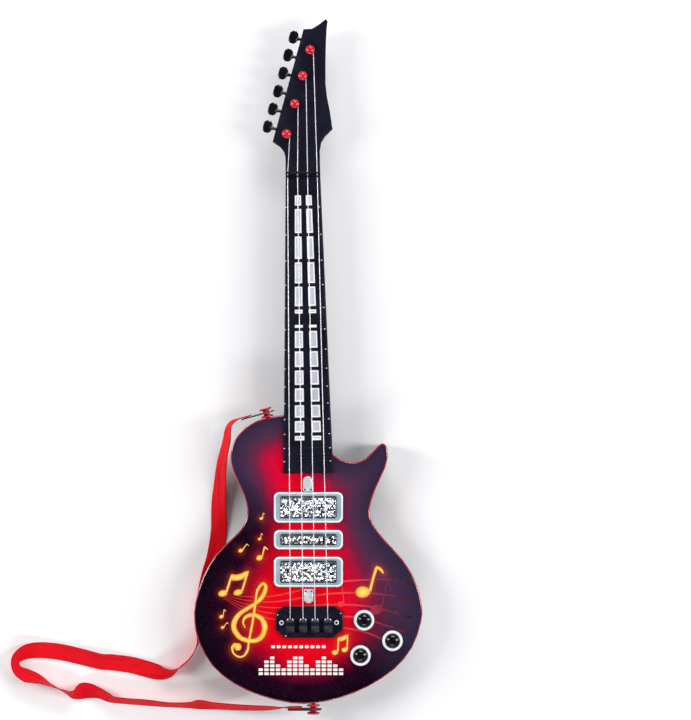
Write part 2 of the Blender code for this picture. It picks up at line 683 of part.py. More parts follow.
def arc(middle, radius, start, end, steps):
    angles = [math.radians(start + (end - start) * step / steps) for step in range(steps + 1)]
    return [(middle[0] + radius * math.cos(a), middle[1] + radius * math.sin(a)) for a in angles]


def emitter_outline(grow):
    """A block with a rounded end towards the neck."""
    x, end_y, half = EMITTER_X, 74.55, 4.75 + grow
    foot = 64.6 - grow
    return [(x + half, foot), *arc((x, end_y), half, 0, 180, 8), (x - half, foot)]


def receiver_outline(grow):
    """A block with a rounded end towards the bridge."""
    x, end_y, half = RECEIVER_X, -36.0, 4.55 + grow
    foot = -27.1 + grow
    return [(x - half, foot), *arc((x, end_y), half, 180, 360, 8), (x + half, foot)]


def make_pod(name, outline, middle, clear):
    """A clear cover with a domed top, over an infrared part."""
    mesh = bmesh.new()
    levels = ((31.5, 1.0), (39.6, 1.0), (41.0, 0.88), (41.6, 0.6))
    rings = [
        [((x - middle[0]) * share, (y - middle[1]) * share, z) for x, y in outline] for z, share in levels
    ]
    add_loft(mesh, rings)
    return piece(name, mesh, clear, None, (middle[0], middle[1], 0.0))


def make_bridge(black):
    middle_x = (BRIDGE_OUTLINE[0][0] + BRIDGE_OUTLINE[1][0]) / 2
    middle_y = (BRIDGE_OUTLINE[0][1] + BRIDGE_OUTLINE[4][1]) / 2
    plate = bmesh.new()
    levels = ((FACE_Z + GAP, 1.0), (BRIDGE_TOP - 0.8, 1.0), (BRIDGE_TOP, 0.97))
    add_loft(plate, [[(middle_x + (x - middle_x) * share, middle_y + (y - middle_y) * share, z)
                      for x, y in BRIDGE_OUTLINE] for z, share in levels])
    bridge = piece("bridge", plate, black)
    saddles = bmesh.new()
    for _, x in STRINGS:
        half = SADDLE_WIDTH / 2
        profile = [(-54.8, BRIDGE_TOP - 1), (-54.8, SADDLE_TOP - 1.8), (-57.6, SADDLE_TOP),
                   (-61.0, SADDLE_TOP - 0.4), (-67.6, SADDLE_TOP - 3.6), (-67.6, BRIDGE_TOP - 1)]
        add_loft(saddles, [[(x + side, y, z) for y, z in profile] for side in (-half, half)])
    add(bridge, saddles, "saddles")
    holes = bmesh.new()
    for _, x in STRINGS:
        add_block(holes, x - 0.9, x + 0.9, -59.0, -54.0, STRING_BRIDGE[1] - 0.9, STRING_BRIDGE[1] + 0.9)
    for x, y in BRIDGE_SCREWS:
        add_turned(holes, ((1.5, 34.0), (1.5, 42.0)), 10, (x, y))
    cut(bridge, holes, "holes")
    return bridge


def make_bridge_screw(name, middle, steel):
    x, y = middle
    profile = ((0.9, -5.2), (0.9, 0.3), (2.35, 0.3), (2.35, 0.9), (1.4, 1.7))
    return piece(name, solid(add_turned, profile, 14), steel, None, (x, y, BRIDGE_TOP))


# Buttons and electronics


def make_button_ring(index, chrome):
    x, y = BUTTONS[index]
    profile = ((8.2, 33.2), (8.2, FACE_Z + GAP), (9.7, FACE_Z + GAP), (9.7, 37.8), (9.0, 38.9), (8.0, 39.3),
               (7.1, 38.9), (6.95, 38.2), (6.95, 33.2))
    ring = solid(add_turned, profile, 20, (0.0, 0.0), True)
    return piece(f"button_ring_{index + 1}", ring, chrome, None, (x, y, 0.0))


def make_button_cap(index, black):
    """A domed cap whose wide foot stays under the ring. Its origin is on the line that it travels along."""
    x, y = BUTTONS[index]
    profile = ((7.9, -5.7), (7.9, -3.9), (6.6, -3.9), (6.6, 2.6), (5.8, 3.9), (4.2, 4.7), (2.0, 5.1))
    return piece(f"button_cap_{index + 1}", solid(add_turned, profile, 18), black, None, (x, y, FACE_Z))


def main_board_outline():
    return [(33.0, -34.0), (74.0, -34.0), (90.0, -40.0), (93.0, -58.0), (89.0, -80.0), (74.0, -96.0),
            (56.0, -106.0), (33.0, -106.0)]


def make_main_board(green):
    board = piece("main_board", solid(add_prism, main_board_outline(), 22.6, 24.2), green)
    chips = bmesh.new()
    add_block(chips, 36.0, 44.0, -78.0, -66.0, 21.0, 23.0)
    add_block(chips, 62.0, 74.0, -52.0, -44.0, 21.0, 23.0)
    add(board, chips, "chips")
    return board


def make_dome_mat(rubber):
    outline = [(x, y) for x, y in ((40.0, -46.0), (64.0, -46.0), (90.0, -64.0), (88.0, -78.0), (60.0, -100.0),
                                   (40.0, -100.0))]
    mat = piece("button_dome_mat", solid(add_prism, outline, 24.5, 25.5), rubber)
    domes = bmesh.new()
    for middle in BUTTONS:
        add_turned(domes, ((5.5, 25.0), (5.5, 26.2), (3.4, 28.3)), 14, middle)
    add(mat, domes, "domes")
    return mat


def make_speaker(black):
    profile = ((SPEAKER_RADIUS, 2.3), (SPEAKER_RADIUS, 4.0), (21.5, 4.0), (12.5, 10.0), (12.5, 11.0),
               (14.0, 11.0), (14.0, 17.5), (12.5, 18.5))
    return piece("speaker", solid(add_turned, profile, 22), black, None, (*SPEAKER, 0.0))


def make_cell(index, metal):
    profile = ((6.2, 0.0), (CELL_RADIUS, 0.6), (CELL_RADIUS, 48.2), (6.2, 48.9), (2.7, 48.9), (2.7, 50.0))
    mesh = solid(add_turned, profile, 16)
    tilt = (-math.pi / 2, 0.0, 0.0) if index != 1 else (math.pi / 2, 0.0, 0.0)
    start = CELLS_Y[0] if index != 1 else CELLS_Y[1]
    x = (index - 1) * CELL_PITCH
    return piece(f"battery_cell_{index + 1}", mesh, metal, None, (x, start, 10.2), tilt)


def make_contact(name, y0, y1, bumps_towards, reaches, metal):
    """A strip along one end of the bay, with a bump for each cell."""
    strip = piece(name, solid(add_block, -22.5, 22.5, y0, y1, 4.4, 16.4), metal)
    bumps = bmesh.new()
    for index, reach in enumerate(reaches):
        bump = bmesh.new()
        add_turned(bump, ((3.2, 0.0), (3.2, reach * 0.5), (2.0, reach)), 10)
        turn = Matrix.Rotation(-math.pi / 2 * bumps_towards, 4, "X")
        bump.transform(Matrix.Translation(((index - 1) * CELL_PITCH, (y0 + y1) / 2, 10.2)) @ turn)
        join_mesh(bumps, bump)
    add(strip, bumps, "bumps")
    return strip


def make_battery_door(black):
    """Turns about its origin, the outer corner of its upper edge, so that it swings clear of the back."""
    x0, x1, y0, y1 = DOOR
    thickness = DOOR_TOP - DOOR_BOTTOM
    edge = solid(add_block, x0, x1, y0 - y1, -0.6, 0.0, thickness)
    door = piece("battery_door", edge, black, None, (0.0, y1, DOOR_BOTTOM))
    hole = bmesh.new()
    add_turned(hole, ((2.9, -1.0), (2.9, 0.9), (1.5, 0.9), (1.5, 3.0)), 12, (0.0, DOOR_SCREW_Y - y1))
    cut(door, hole, "screw_hole")
    grip = bmesh.new()
    for index in range(4):
        y = -14.0 - 3.2 * index
        add_block(grip, -9.0, 9.0, y - 0.7, y + 0.7, -1.0, 0.6)
    cut(door, grip, "grip_grooves")
    return door


def make_door_screw(steel):
    profile = ((2.6, 0.5), (2.6, 1.0), (1.2, 1.1), (1.2, 6.8))
    return piece("battery_door_screw", solid(add_turned, profile, 12), steel, None, (0.0, DOOR_SCREW_Y, 0.0))


def make_power_switch(black):
    """A slider behind the back wall, with a knob that stays inside the slot."""
    slab = solid(add_block, -6.0, 6.0, -4.0, 4.0, 2.4, 4.0)
    slider = piece("power_switch", slab, black, None, (*SWITCH, 0.0))
    add(slider, solid(add_block, -1.9, 1.9, -1.7, 1.7, 0.6, 3.0), "knob")
    return slider


def make_shell_screw(index, steel):
    x, y = SHELL_SCREWS[index]
    profile = ((3.0, 3.0), (3.0, 4.6), (1.4, 4.7), (1.4, 32.4))
    return piece(f"shell_screw_{index + 1}", solid(add_turned, profile, 10), steel, None, (x, y, 0.0))


# Strap


def make_strap_button(name, end, red):
    (x, y), (out_x, out_y) = SPOOLS[end]
    profile = ((2.3, -12.0), (2.3, -SPOOL_HALF), (6.2, -SPOOL_HALF), (6.2, -3.1), (3.0, -2.2), (3.0, 2.2),
               (6.2, 3.1), (6.2, SPOOL_HALF - 0.6), (5.6, SPOOL_HALF))
    turned = bmesh.new()
    add_turned(turned, profile, 12)
    turned.transform(Matrix.Translation((-x, -y, -SPOOL_Z)) @ spool_matrix(x, y, out_x, out_y))
    return piece(name, turned, red, None, (x, y, SPOOL_Z))


def make_strap_tab(name, end, black):
    """A flat tab on edge round the strap button's waist, reaching along the rim towards the strap."""
    (x, y), (out_x, out_y) = SPOOLS[end]
    across = Vector((out_y, -out_x, 0.0))
    if across.x > 0:
        across.negate()
    half = STRAP_WIDTH / 2
    outer = [(TAB_REACH, -half), (TAB_REACH, half), (2.0, half), (-4.5, half * 0.72), (-half, 2.5),
             (-half, -2.5), (-4.5, -half * 0.72), (2.0, -half)]
    out = Vector((out_x, out_y, 0.0))
    tab = bmesh.new()
    rings = [[across * a + out * side + Vector((0, 0, b)) for a, b in outer] for side in (-0.6, 0.6)]
    add_loft(tab, rings)
    item = piece(name, tab, black, None, (x, y, SPOOL_Z))
    bore = bmesh.new()
    ring = circle(3.4, 14)
    add_loft(bore, [[across * a + out * side + Vector((0, 0, b)) for a, b in ring] for side in (-2.0, 2.0)])
    cut(item, bore, "button_hole")
    return item


def strap_rings(route):
    """A rectangle of webbing at each point of the route, turned about the route by its lean."""
    line = smooth_line(route, 2)
    rings = []
    for index, (x, y, z, lean) in enumerate(line):
        before = Vector(line[max(index - 1, 0)][:3])
        after = Vector(line[min(index + 1, len(line) - 1)][:3])
        along = (after - before).normalized()
        side = Vector((-along.y, along.x, 0.0)).normalized()
        up = along.cross(side)
        angle = math.radians(lean)
        across = side * math.cos(angle) + up * math.sin(angle)
        through = along.cross(across)
        corners = ((-1, -1), (1, -1), (1, 1), (-1, 1))
        hangs = abs(across.z) * STRAP_WIDTH / 2 + abs(through.z) * STRAP_THICKNESS / 2
        middle = Vector((x, y, max(z, hangs + STRAP_CLEARANCE)))
        rings.append([
            middle + across * (a * STRAP_WIDTH / 2) + through * (b * STRAP_THICKNESS / 2)
            for a, b in corners
        ])
    return rings


def make_strap(red_webbing):
    return piece("strap", solid(add_loft, strap_rings(STRAP_ROUTE)), red_webbing)


def build():
    clear_scene()
    red = principled("red_plastic", (0.72, 0.02, 0.04), 0.25)
    black = principled("black_plastic", (0.015, 0.015, 0.03), 0.3)
    button_black = principled("gloss_black", (0.008, 0.008, 0.01), 0.12)
    chrome = principled("chrome", (0.85, 0.86, 0.88), 0.12, 1.0)
    silver = principled("silver_grey", (0.55, 0.64, 0.68), 0.35)
    clear = principled("clear_plastic", (0.85, 0.88, 0.9), 0.05, 0.0, 0.9)
    milky = principled("milky_plastic", (0.86, 0.87, 0.9), 0.4)
    steel = principled("steel", (0.7, 0.7, 0.72), 0.3, 1.0)
    green = principled("circuit_board", (0.02, 0.2, 0.06), 0.5)
    rubber = principled("grey_rubber", (0.3, 0.3, 0.32), 0.7)
    webbing = principled("red_webbing", (0.78, 0.01, 0.02), 0.75)
    vinyl = principled("black_vinyl", (0.012, 0.012, 0.014), 0.5)
    cell_wrap = principled("cell_wrap", (0.12, 0.14, 0.2), 0.35, 0.3)

    neck = bpy.data.objects.new("neck_frame", None)
    bpy.context.scene.collection.objects.link(neck)
    neck.location = Vector((*NECK_START, 0.0)) * MM
    neck.rotation_euler = (0.0, 0.0, NECK_LEAN)
    bpy.context.view_layer.update()

    make_front_shell(red, neck)
    make_rear_shell(black, neck)
    make_fingerboard(black, neck)
    make_neck_rear(black, neck)
    make_nut(black, neck)
    make_light_guide("light_guide_upper", "upper", milky, neck)
    make_light_guide("light_guide_lower", "lower", milky, neck)
    make_neck_led_board(green, neck)
    for index in range(len(PICKUPS)):
        make_pickup_bezel(index, silver)
        make_pickup_lens(index, clear)
    make_pickup_led_board(green)
    make_pod("ir_emitter_pod", emitter_outline(0.0), (EMITTER_X, 71.7), clear)
    make_pod("ir_receiver_pod", receiver_outline(0.0), (RECEIVER_X, -33.5), clear)
    make_bridge(black)
    for name, middle in zip(("bridge_screw_left", "bridge_screw_right"), BRIDGE_SCREWS):
        make_bridge_screw(name, middle, steel)
    for index in range(len(STRINGS)):
        make_string_post(index, red, neck)
        make_string(index, steel, neck)
    for index in range(len(TUNERS)):
        make_tuner_key(index, black, neck)
    for index in range(len(BUTTONS)):
        make_button_ring(index, chrome)
        make_button_cap(index, button_black)
    make_main_board(green)
    make_dome_mat(rubber)
    make_speaker(black)
    for index in range(3):
        make_cell(index, cell_wrap)
    make_contact("battery_spring_contact", -78.6, -77.8, 1, (3.2, 3.2, 3.2), steel)
    make_contact("battery_flat_contact", -20.2, -19.4, -1, (3.2, 3.2, 3.2), steel)
    make_battery_door(black)
    make_door_screw(steel)
    make_power_switch(black)
    for index in range(len(SHELL_SCREWS)):
        make_shell_screw(index, steel)
    make_strap_button("strap_button_upper", "upper", red)
    make_strap_button("strap_button_lower", "lower", red)
    make_strap(webbing)
    make_strap_tab("strap_tab_upper", "upper", vinyl)
    make_strap_tab("strap_tab_lower", "lower", vinyl)


build()
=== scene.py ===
"""Looks of the toy electric guitar: printed face, moulded shells, fingerboard windows, trim and strap.

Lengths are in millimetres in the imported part's frame, and MM turns them into metres. Outlines and places
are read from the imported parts, so every piece sits on the part that it dresses. In a profile, an inset is
measured in from the part's outside and a drop down from its top.
"""

import json
import math
import random

import bmesh
import bpy
import numpy as np
from mathutils import Matrix, Vector
from mathutils.geometry import delaunay_2d_cdt

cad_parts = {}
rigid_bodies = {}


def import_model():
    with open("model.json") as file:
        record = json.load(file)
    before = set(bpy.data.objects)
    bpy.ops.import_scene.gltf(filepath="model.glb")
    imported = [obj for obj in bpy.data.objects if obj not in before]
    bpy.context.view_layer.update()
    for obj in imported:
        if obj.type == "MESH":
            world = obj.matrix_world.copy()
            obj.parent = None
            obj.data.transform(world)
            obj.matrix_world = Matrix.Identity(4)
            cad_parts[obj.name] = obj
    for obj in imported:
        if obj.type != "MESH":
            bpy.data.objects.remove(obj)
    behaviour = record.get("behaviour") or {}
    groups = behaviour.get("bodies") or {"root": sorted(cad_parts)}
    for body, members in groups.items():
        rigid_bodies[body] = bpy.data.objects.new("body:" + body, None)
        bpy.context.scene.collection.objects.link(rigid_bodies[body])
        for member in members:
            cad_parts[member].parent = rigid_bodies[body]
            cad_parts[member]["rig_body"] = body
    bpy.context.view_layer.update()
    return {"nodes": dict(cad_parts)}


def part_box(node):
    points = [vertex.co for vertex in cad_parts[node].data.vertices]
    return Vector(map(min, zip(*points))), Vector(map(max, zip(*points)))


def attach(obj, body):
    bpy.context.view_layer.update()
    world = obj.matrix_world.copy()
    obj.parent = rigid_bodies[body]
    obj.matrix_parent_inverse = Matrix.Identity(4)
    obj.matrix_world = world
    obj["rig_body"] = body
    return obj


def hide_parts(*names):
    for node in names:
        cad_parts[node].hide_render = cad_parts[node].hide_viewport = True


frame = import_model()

MM = 0.001
BODY = "guitar"

# Camera, straight above the strings.
VIEW_MIDDLE = (34.9, 188.4)
VIEW_HEIGHT = 678.0
CAMERA_RISE = 2500.0
SENSOR = 36.0

# Studio, in metres: softboxes as (name, place, width and height, watts), all aimed at the middle of the toy.
STUDIO_MIDDLE = (0.0, 0.15, 0.03)
SOFTBOXES = (
    ("softbox_left", (-1.7, 0.5, 1.3), (0.5, 1.6), 27.0),
    ("softbox_right", (1.7, 0.2, 1.3), (0.5, 1.6), 27.0),
    ("softbox_top", (0.3, 2.1, 1.4), (1.6, 0.5), 24.0),
    ("softbox_front", (0.0, -1.9, 1.4), (1.4, 0.4), 15.0),
)

# Heights that the parts share.
FACE = 36.0
PRINT = 36.14
INK = 36.2
FOOT = PRINT - 0.06
BOARD_EDGE_Z = 40.4

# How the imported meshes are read: corners this near are one, and heights this near are level.
MERGE_REACH = 0.002
LEVEL_REACH = 0.02
FLAT_ANGLE = math.radians(0.5)

# Printed sheet on the face.
PRINT_INSET = 1.3
PRINT_THICKNESS = 0.12
PRINT_GRID = 2.0
PRINT_SPAN = ((-112.0, 112.0), (-138.0, 140.0))
NECK_GAP = (0.75, 0.9)
GLOW_PEAK = 0.2
GLOW_FADE = 1.8
# Rounded tops of inked strokes and heads: (share of the half width, rise, core value).
STROKE_DOME = ((-1.0, 0.0, 0.0), (-0.62, 0.7, 0.55), (0.0, 1.0, 1.0), (0.62, 0.7, 0.55), (1.0, 0.0, 0.0))
HEAD_DOME = ((1.0, -0.2, 0.0), (1.0, 0.0, 0.0), (0.8, 0.65, 0.45), (0.45, 0.95, 0.85), (0.12, 1.0, 1.0))
SUN_SPINE = ((-3.0, -70.0), (2.0, 10.0), (-3.0, 52.0), (-15.0, 84.0))

# Webbing of the strap, as in the part: middle line as (x, y, z, lean), 0 flat and 90 on edge.
STRAP_WIDTH = 15.5
STRAP_THICKNESS = 1.2
STRAP_FLOOR = 0.2
STRAP_STEPS = 6
# Half of the webbing's section: (share of the half width, share of the half thickness).
STRAP_PROFILE = (
    (-1.0, 0.30), (-0.97, 0.8), (-0.9, 1.0), (-0.75, 0.72), (-0.5, 0.7), (-0.25, 0.7), (0.0, 0.7),
    (0.25, 0.7), (0.5, 0.7), (0.75, 0.72), (0.9, 1.0), (0.97, 0.8), (1.0, 0.30),
)
STITCH_BOX = 10.0
STITCH_PITCH = 1.9
STRAP_ROUTE = [
    (-53.8, 136.4, 31.0, 90), (-59.6, 134.7, 31.0, 90), (-64.4, 133.4, 31.0, 90), (-69.2, 131.1, 30.6, 84),
    (-73.4, 127.5, 29.2, 74), (-75.9, 121.6, 27.2, 66), (-77.4, 112.4, 24.0, 60), (-79.9, 102.0, 20.6, 58),
    (-82.0, 91.6, 16.8, 51), (-83.6, 80.0, 12.8, 45), (-84.8, 68.0, 9.2, 40), (-85.8, 56.0, 6.2, 30),
    (-86.0, 43.5, 3.8, 20), (-85.8, 27.5, 1.6, 4), (-87.6, 12.6, 1.2, -3), (-90.3, -0.6, 2.0, -10),
    (-94.9, -14.6, 3.6, -26), (-99.4, -27.6, 5.8, -46), (-102.4, -40.6, 7.7, -61),
    (-103.8, -54.7, 8.2, -66), (-104.4, -66.8, 8.4, -74), (-105.3, -79.9, 8.5, -86),
    (-109.0, -89.3, 8.5, -90), (-113.1, -95.4, 8.5, -90), (-117.7, -100.1, 8.5, -90),
    (-123.5, -104.6, 8.4, -88), (-129.8, -108.2, 7.8, -68), (-137.6, -109.8, 5.4, -36),
    (-146.9, -108.7, 2.4, -10), (-157.1, -105.9, 1.6, -2), (-170.8, -102.4, 1.4, 0),
    (-188.0, -100.1, 2.0, -6), (-199.4, -99.2, 2.6, -11), (-218.6, -94.4, 1.8, -6),
    (-237.7, -90.2, 1.6, -4), (-255.7, -88.4, 2.4, -8), (-269.0, -89.8, 4.0, -24),
    (-277.4, -94.8, 6.8, -50), (-279.7, -101.4, 8.0, -68), (-276.3, -108.1, 7.6, -60),
    (-269.0, -112.2, 6.4, -44), (-260.3, -114.8, 7.4, -58), (-252.6, -117.7, 8.4, -78),
    (-246.1, -120.9, 8.6, -90), (-233.9, -126.6, 8.4, -104), (-226.4, -129.6, 8.0, -118),
    (-220.6, -128.6, 5.4, -148), (-215.0, -127.0, 2.6, -172), (-208.0, -126.9, 4.4, -158),
    (-200.1, -128.8, 6.4, -138), (-192.0, -132.6, 7.2, -130), (-185.5, -135.1, 7.6, -120),
    (-173.8, -136.4, 7.8, -117), (-153.8, -137.9, 7.8, -118), (-133.7, -139.8, 8.0, -113),
    (-114.7, -140.2, 8.0, -117), (-105.6, -139.7, 7.4, -130), (-97.5, -140.0, 8.2, -127),
    (-89.3, -140.6, 10.0, -121), (-65.2, -141.4, 15.6, -117), (-45.5, -141.2, 21.4, -114),
    (-32.3, -140.4, 26.0, -108), (-21.5, -139.5, 29.2, -95), (-14.0, -139.5, 30.6, -90),
    (-6.5, -139.5, 31.0, -90),
]

# Printed clef, as (x, y, width) from the inner curl to the blob at the foot.
CLEF = [
    (-59.6, -63.7, 0.8), (-61.5, -58.9, 1.6), (-59.6, -54.2, 2.6), (-55.3, -52.1, 3.2), (-49.6, -52.1, 3.6),
    (-43.8, -55.6, 4.3), (-41.1, -62.8, 4.8), (-42.9, -70.4, 4.6), (-48.1, -75.2, 4.0), (-55.3, -76.2, 3.8),
    (-63.9, -73.3, 4.2), (-69.2, -66.6, 4.8), (-70.1, -59.9, 4.6), (-66.3, -52.3, 4.0), (-59.1, -46.5, 3.4),
    (-51.0, -41.7, 3.2), (-44.3, -35.5, 3.8), (-41.0, -29.3, 3.8), (-40.2, -24.8, 3.2), (-42.4, -22.2, 2.8),
    (-45.7, -24.7, 2.4), (-48.4, -30.3, 2.2), (-49.6, -37.0, 2.0), (-50.5, -44.6, 2.2), (-52.2, -56.1, 2.2),
    (-53.9, -65.6, 2.2), (-56.1, -77.1, 2.0), (-57.2, -84.8, 2.0), (-60.6, -90.0, 1.8), (-65.8, -91.0, 1.6),
    (-70.6, -87.6, 1.8), (-71.7, -82.4, 2.4), (-69.2, -79.6, 3.4),
]
CLEF_FOOT = (-66.6, -81.6, 3.9, 3.8, 0.0)
CLEF_SPREAD = 1.14
# Notes as strokes of (x, y, width), and heads as (x, y, half length, half height, lean in degrees).
NOTE_STROKES = {
    "note_pair_left": [
        [(-77.0, -29.6, 2.1), (-72.2, -14.6, 2.1)], [(-62.4, -28.8, 2.1), (-56.7, -10.4, 1.7)],
        [(-72.9, -16.2, 6.6), (-67.7, -16.6, 6.2), (-62.5, -15.2, 6.0), (-57.6, -11.9, 5.0)],
    ],
    "note_right": [
        [(57.8, -29.0, 2.9), (60.6, -18.6, 2.7), (63.9, -7.4, 2.9)],
        [(63.4, -6.6, 2.8), (66.8, -8.0, 3.4), (69.2, -10.4, 2.4), (70.4, -12.6, 1.0)],
    ],
    "note_pair_small": [
        [(27.6, -85.8, 1.7), (28.2, -73.6, 1.7)], [(36.4, -83.4, 1.7), (36.9, -70.4, 1.5)],
        [(28.0, -74.6, 4.2), (32.0, -74.0, 4.2), (36.6, -71.4, 3.6)],
    ],
}
NOTE_HEADS = {
    "note_pair_left": [(-80.6, -31.4, 4.6, 3.1, 14), (-66.3, -30.5, 4.6, 3.0, 14)],
    "note_right": [(51.2, -30.1, 7.2, 5.5, 6)],
    "note_pair_small": [(25.0, -87.1, 3.1, 2.3, 16), (34.2, -84.4, 3.1, 2.3, 16)],
}
# Single small notes: (x, y, size, lean of the stem in degrees).
SMALL_NOTES = [
    (-44.4, 39.2, 1.7, 8), (-46.1, 19.9, 1.7, 6), (-63.8, 8.9, 2.4, 34), (-46.1, 2.2, 3.4, 14),
    (-81.9, -53.3, 2.2, 8), (-80.9, -63.4, 1.8, 32),
]
# Staff: (x, y of the first line, gap between lines), and the width of a line from left to right.
STAFF = [
    (-80, -31.0, 1.2), (-64, -34.0, 3.0), (-46, -34.6, 4.5), (-30, -33.4, 5.7), (0, -26.5, 8.2),
    (20, -21.5, 10.2), (50, -18.8, 12.0), (75, -18.5, 14.6), (90, -21.0, 15.6), (98, -23.4, 15.8),
]
STAFF_WIDTHS = (0.7, 2.3)
FAINT_NOTES = [
    ([(33.4, -40.4, 0.9), (31.0, -22.4, 0.9), (26.6, -26.0, 0.8)], (30.5, -41.4, 3.4, 2.6, 12)),
    ([(69.2, -44.6, 0.9), (73.8, -21.0, 0.9), (78.0, -29.0, 0.8)], (64.0, -46.5, 5.8, 4.6, 20)),
]
# Level meter below the bridge: from x, to x, foot, pitch, and how tall the columns are in blocks.
METER = (-47.6, 33.6, -108.2, 5.4)
METER_BLOCK = (4.1, 2.5, 1.2)
METER_LEVELS = (2, 4, 5, 3, 2, 4, 5, 5, 3, 2, 4, 5, 4, 3, 2)
# Row of dashes above it: from x, to x, y, pitch.
DASHES = (-36.0, 17.0, -81.6, 5.3)

# Profiles of the trim, as (inset or radius, drop) unless they say otherwise.
BEZEL_LIP = ((0.0, 1.3), (0.2, 0.5), (0.6, 0.08), (1.0, 0.0), (1.4, 0.12), (1.7, 0.5))
BEZEL_GAP = ((-0.55, 5.4), (-0.55, 5.4), (0.3, 4.8), (0.3, 4.8))  # (inset, corner radius) of the painted shade in its joint
GAP_LIFTS = (-0.03, 0.05, 0.05, -0.03)
LENS_COLUMNS = 5
LENS_CUTS = (5, 3)
POD_DOME = ((0.0, 2.0), (0.25, 1.1), (0.8, 0.45), (1.8, 0.1), (2.8, 0.0))
SCREW_HEAD = ((2.35, 1.5), (2.35, 0.7), (2.1, 0.25), (1.75, 0.0), (1.45, 0.1), (1.2, 0.5), (1.2, 1.5))
SLOT_QUARTER = ((0.4, -0.4), (1.6, -0.4), (1.6, 0.4))  # corners of one arm of a screw's crossed slot
SADDLE_RIDGES = (-2.4, -0.8, 0.8, 2.4)
SADDLE_SLOPE = ((-58.2, 0.1), (-61.2, 0.4), (-67.2, 3.4))  # (y, drop)
RING_PROFILE = ((0.0, 1.6), (0.35, 0.7), (1.0, 0.15), (1.7, 0.0), (2.3, 0.15), (2.62, 0.6), (2.74, 1.2))
CAP_DOME = (
    (6.55, 2.6), (6.35, 1.9), (5.9, 1.35), (5.5, 1.2), (5.2, 1.35), (4.9, 1.3), (4.4, 0.75), (3.4, 0.35),
    (2.2, 0.1), (0.8, 0.0),
)
POST_RIM = (
    (0.5, 3.2), (0.0, 2.9), (0.0, 1.6), (0.3, 0.9), (0.9, 0.45), (1.3, 0.5), (1.5, 0.75), (1.8, 0.7),
    (2.2, 0.35),
)

# Fingerboard windows: rims as (inset, rise), and ribs as (share of the pitch, drop).
WINDOW_RIM = ((-0.1, -3.0), (-0.1, -0.1), (0.1, 0.1), (1.2, 0.1), (1.5, -0.3), (1.5, -3.0))
RIB_PITCH = 1.05
RIB_PROFILE = ((0.0, 1.0), (0.0, 0.45), (0.3, 0.08), (0.7, 0.08), (1.0, 0.45), (1.0, 1.0))

# Strings, and the steps and drop of their turns round the posts.
STRING_RADIUS = 0.34
TURN_STEPS = 20
TURN_DROP = 0.042


# Scene: camera, light and floor


def make_camera():
    data = bpy.data.cameras.new("camera")
    data.sensor_width = SENSOR
    data.lens = SENSOR * CAMERA_RISE / VIEW_HEIGHT
    data.clip_end = 20.0
    camera = bpy.data.objects.new("camera", data)
    camera.location = Vector((*VIEW_MIDDLE, FACE + CAMERA_RISE)) * MM
    bpy.context.scene.collection.objects.link(camera)
    bpy.context.scene.camera = camera


def add_light(name, place, size, watts):
    data = bpy.data.lights.new(name, "AREA")
    data.shape = "RECTANGLE"
    data.size, data.size_y = size
    data.energy = watts
    lamp = bpy.data.objects.new(name, data)
    lamp.location = place
    lamp.rotation_euler = (Vector(STUDIO_MIDDLE) - Vector(place)).to_track_quat("-Z", "Y").to_euler()
    bpy.context.scene.collection.objects.link(lamp)


def make_studio():
    """Pale walls under a dark ceiling, so that flat glossy faces stay deep, with softboxes on all sides."""
    world = bpy.data.worlds.new("studio")
    world.use_nodes = True
    tree = world.node_tree
    direction = tree.nodes.new("ShaderNodeTexCoord")
    split = tree.nodes.new("ShaderNodeSeparateXYZ")
    tree.links.new(direction.outputs["Generated"], split.inputs[0])
    ramp = tree.nodes.new("ShaderNodeValToRGB")
    elements = ramp.color_ramp.elements
    elements[0].position, elements[0].color = 0.1, (0.95, 0.96, 1.0, 1.0)
    elements[1].position, elements[1].color = 0.9, (0.012, 0.012, 0.02, 1.0)
    tree.links.new(split.outputs["Z"], ramp.inputs["Fac"])
    background = tree.nodes["Background"]
    tree.links.new(ramp.outputs["Color"], background.inputs["Color"])
    background.inputs["Strength"].default_value = 0.6
    bpy.context.scene.world = world
    for softbox in SOFTBOXES:
        add_light(*softbox)
    bpy.context.scene.view_settings.view_transform = "Standard"


def make_floor():
    mesh = bmesh.new()
    bmesh.ops.create_grid(mesh, x_segments=1, y_segments=1, size=3.0)
    data = bpy.data.meshes.new("floor")
    mesh.to_mesh(data)
    mesh.free()
    floor = bpy.data.objects.new("floor", data)
    bpy.context.scene.collection.objects.link(floor)
    floor.data.materials.append(plain("floor_paper", (0.93, 0.93, 0.94), 0.85))


# Materials


def plain(name, color, roughness):
    material = bpy.data.materials.new(name)
    material.use_nodes = True
    shader = material.node_tree.nodes["Principled BSDF"]
    shader.inputs["Base Color"].default_value = (*color, 1.0)
    shader.inputs["Roughness"].default_value = roughness
    return material


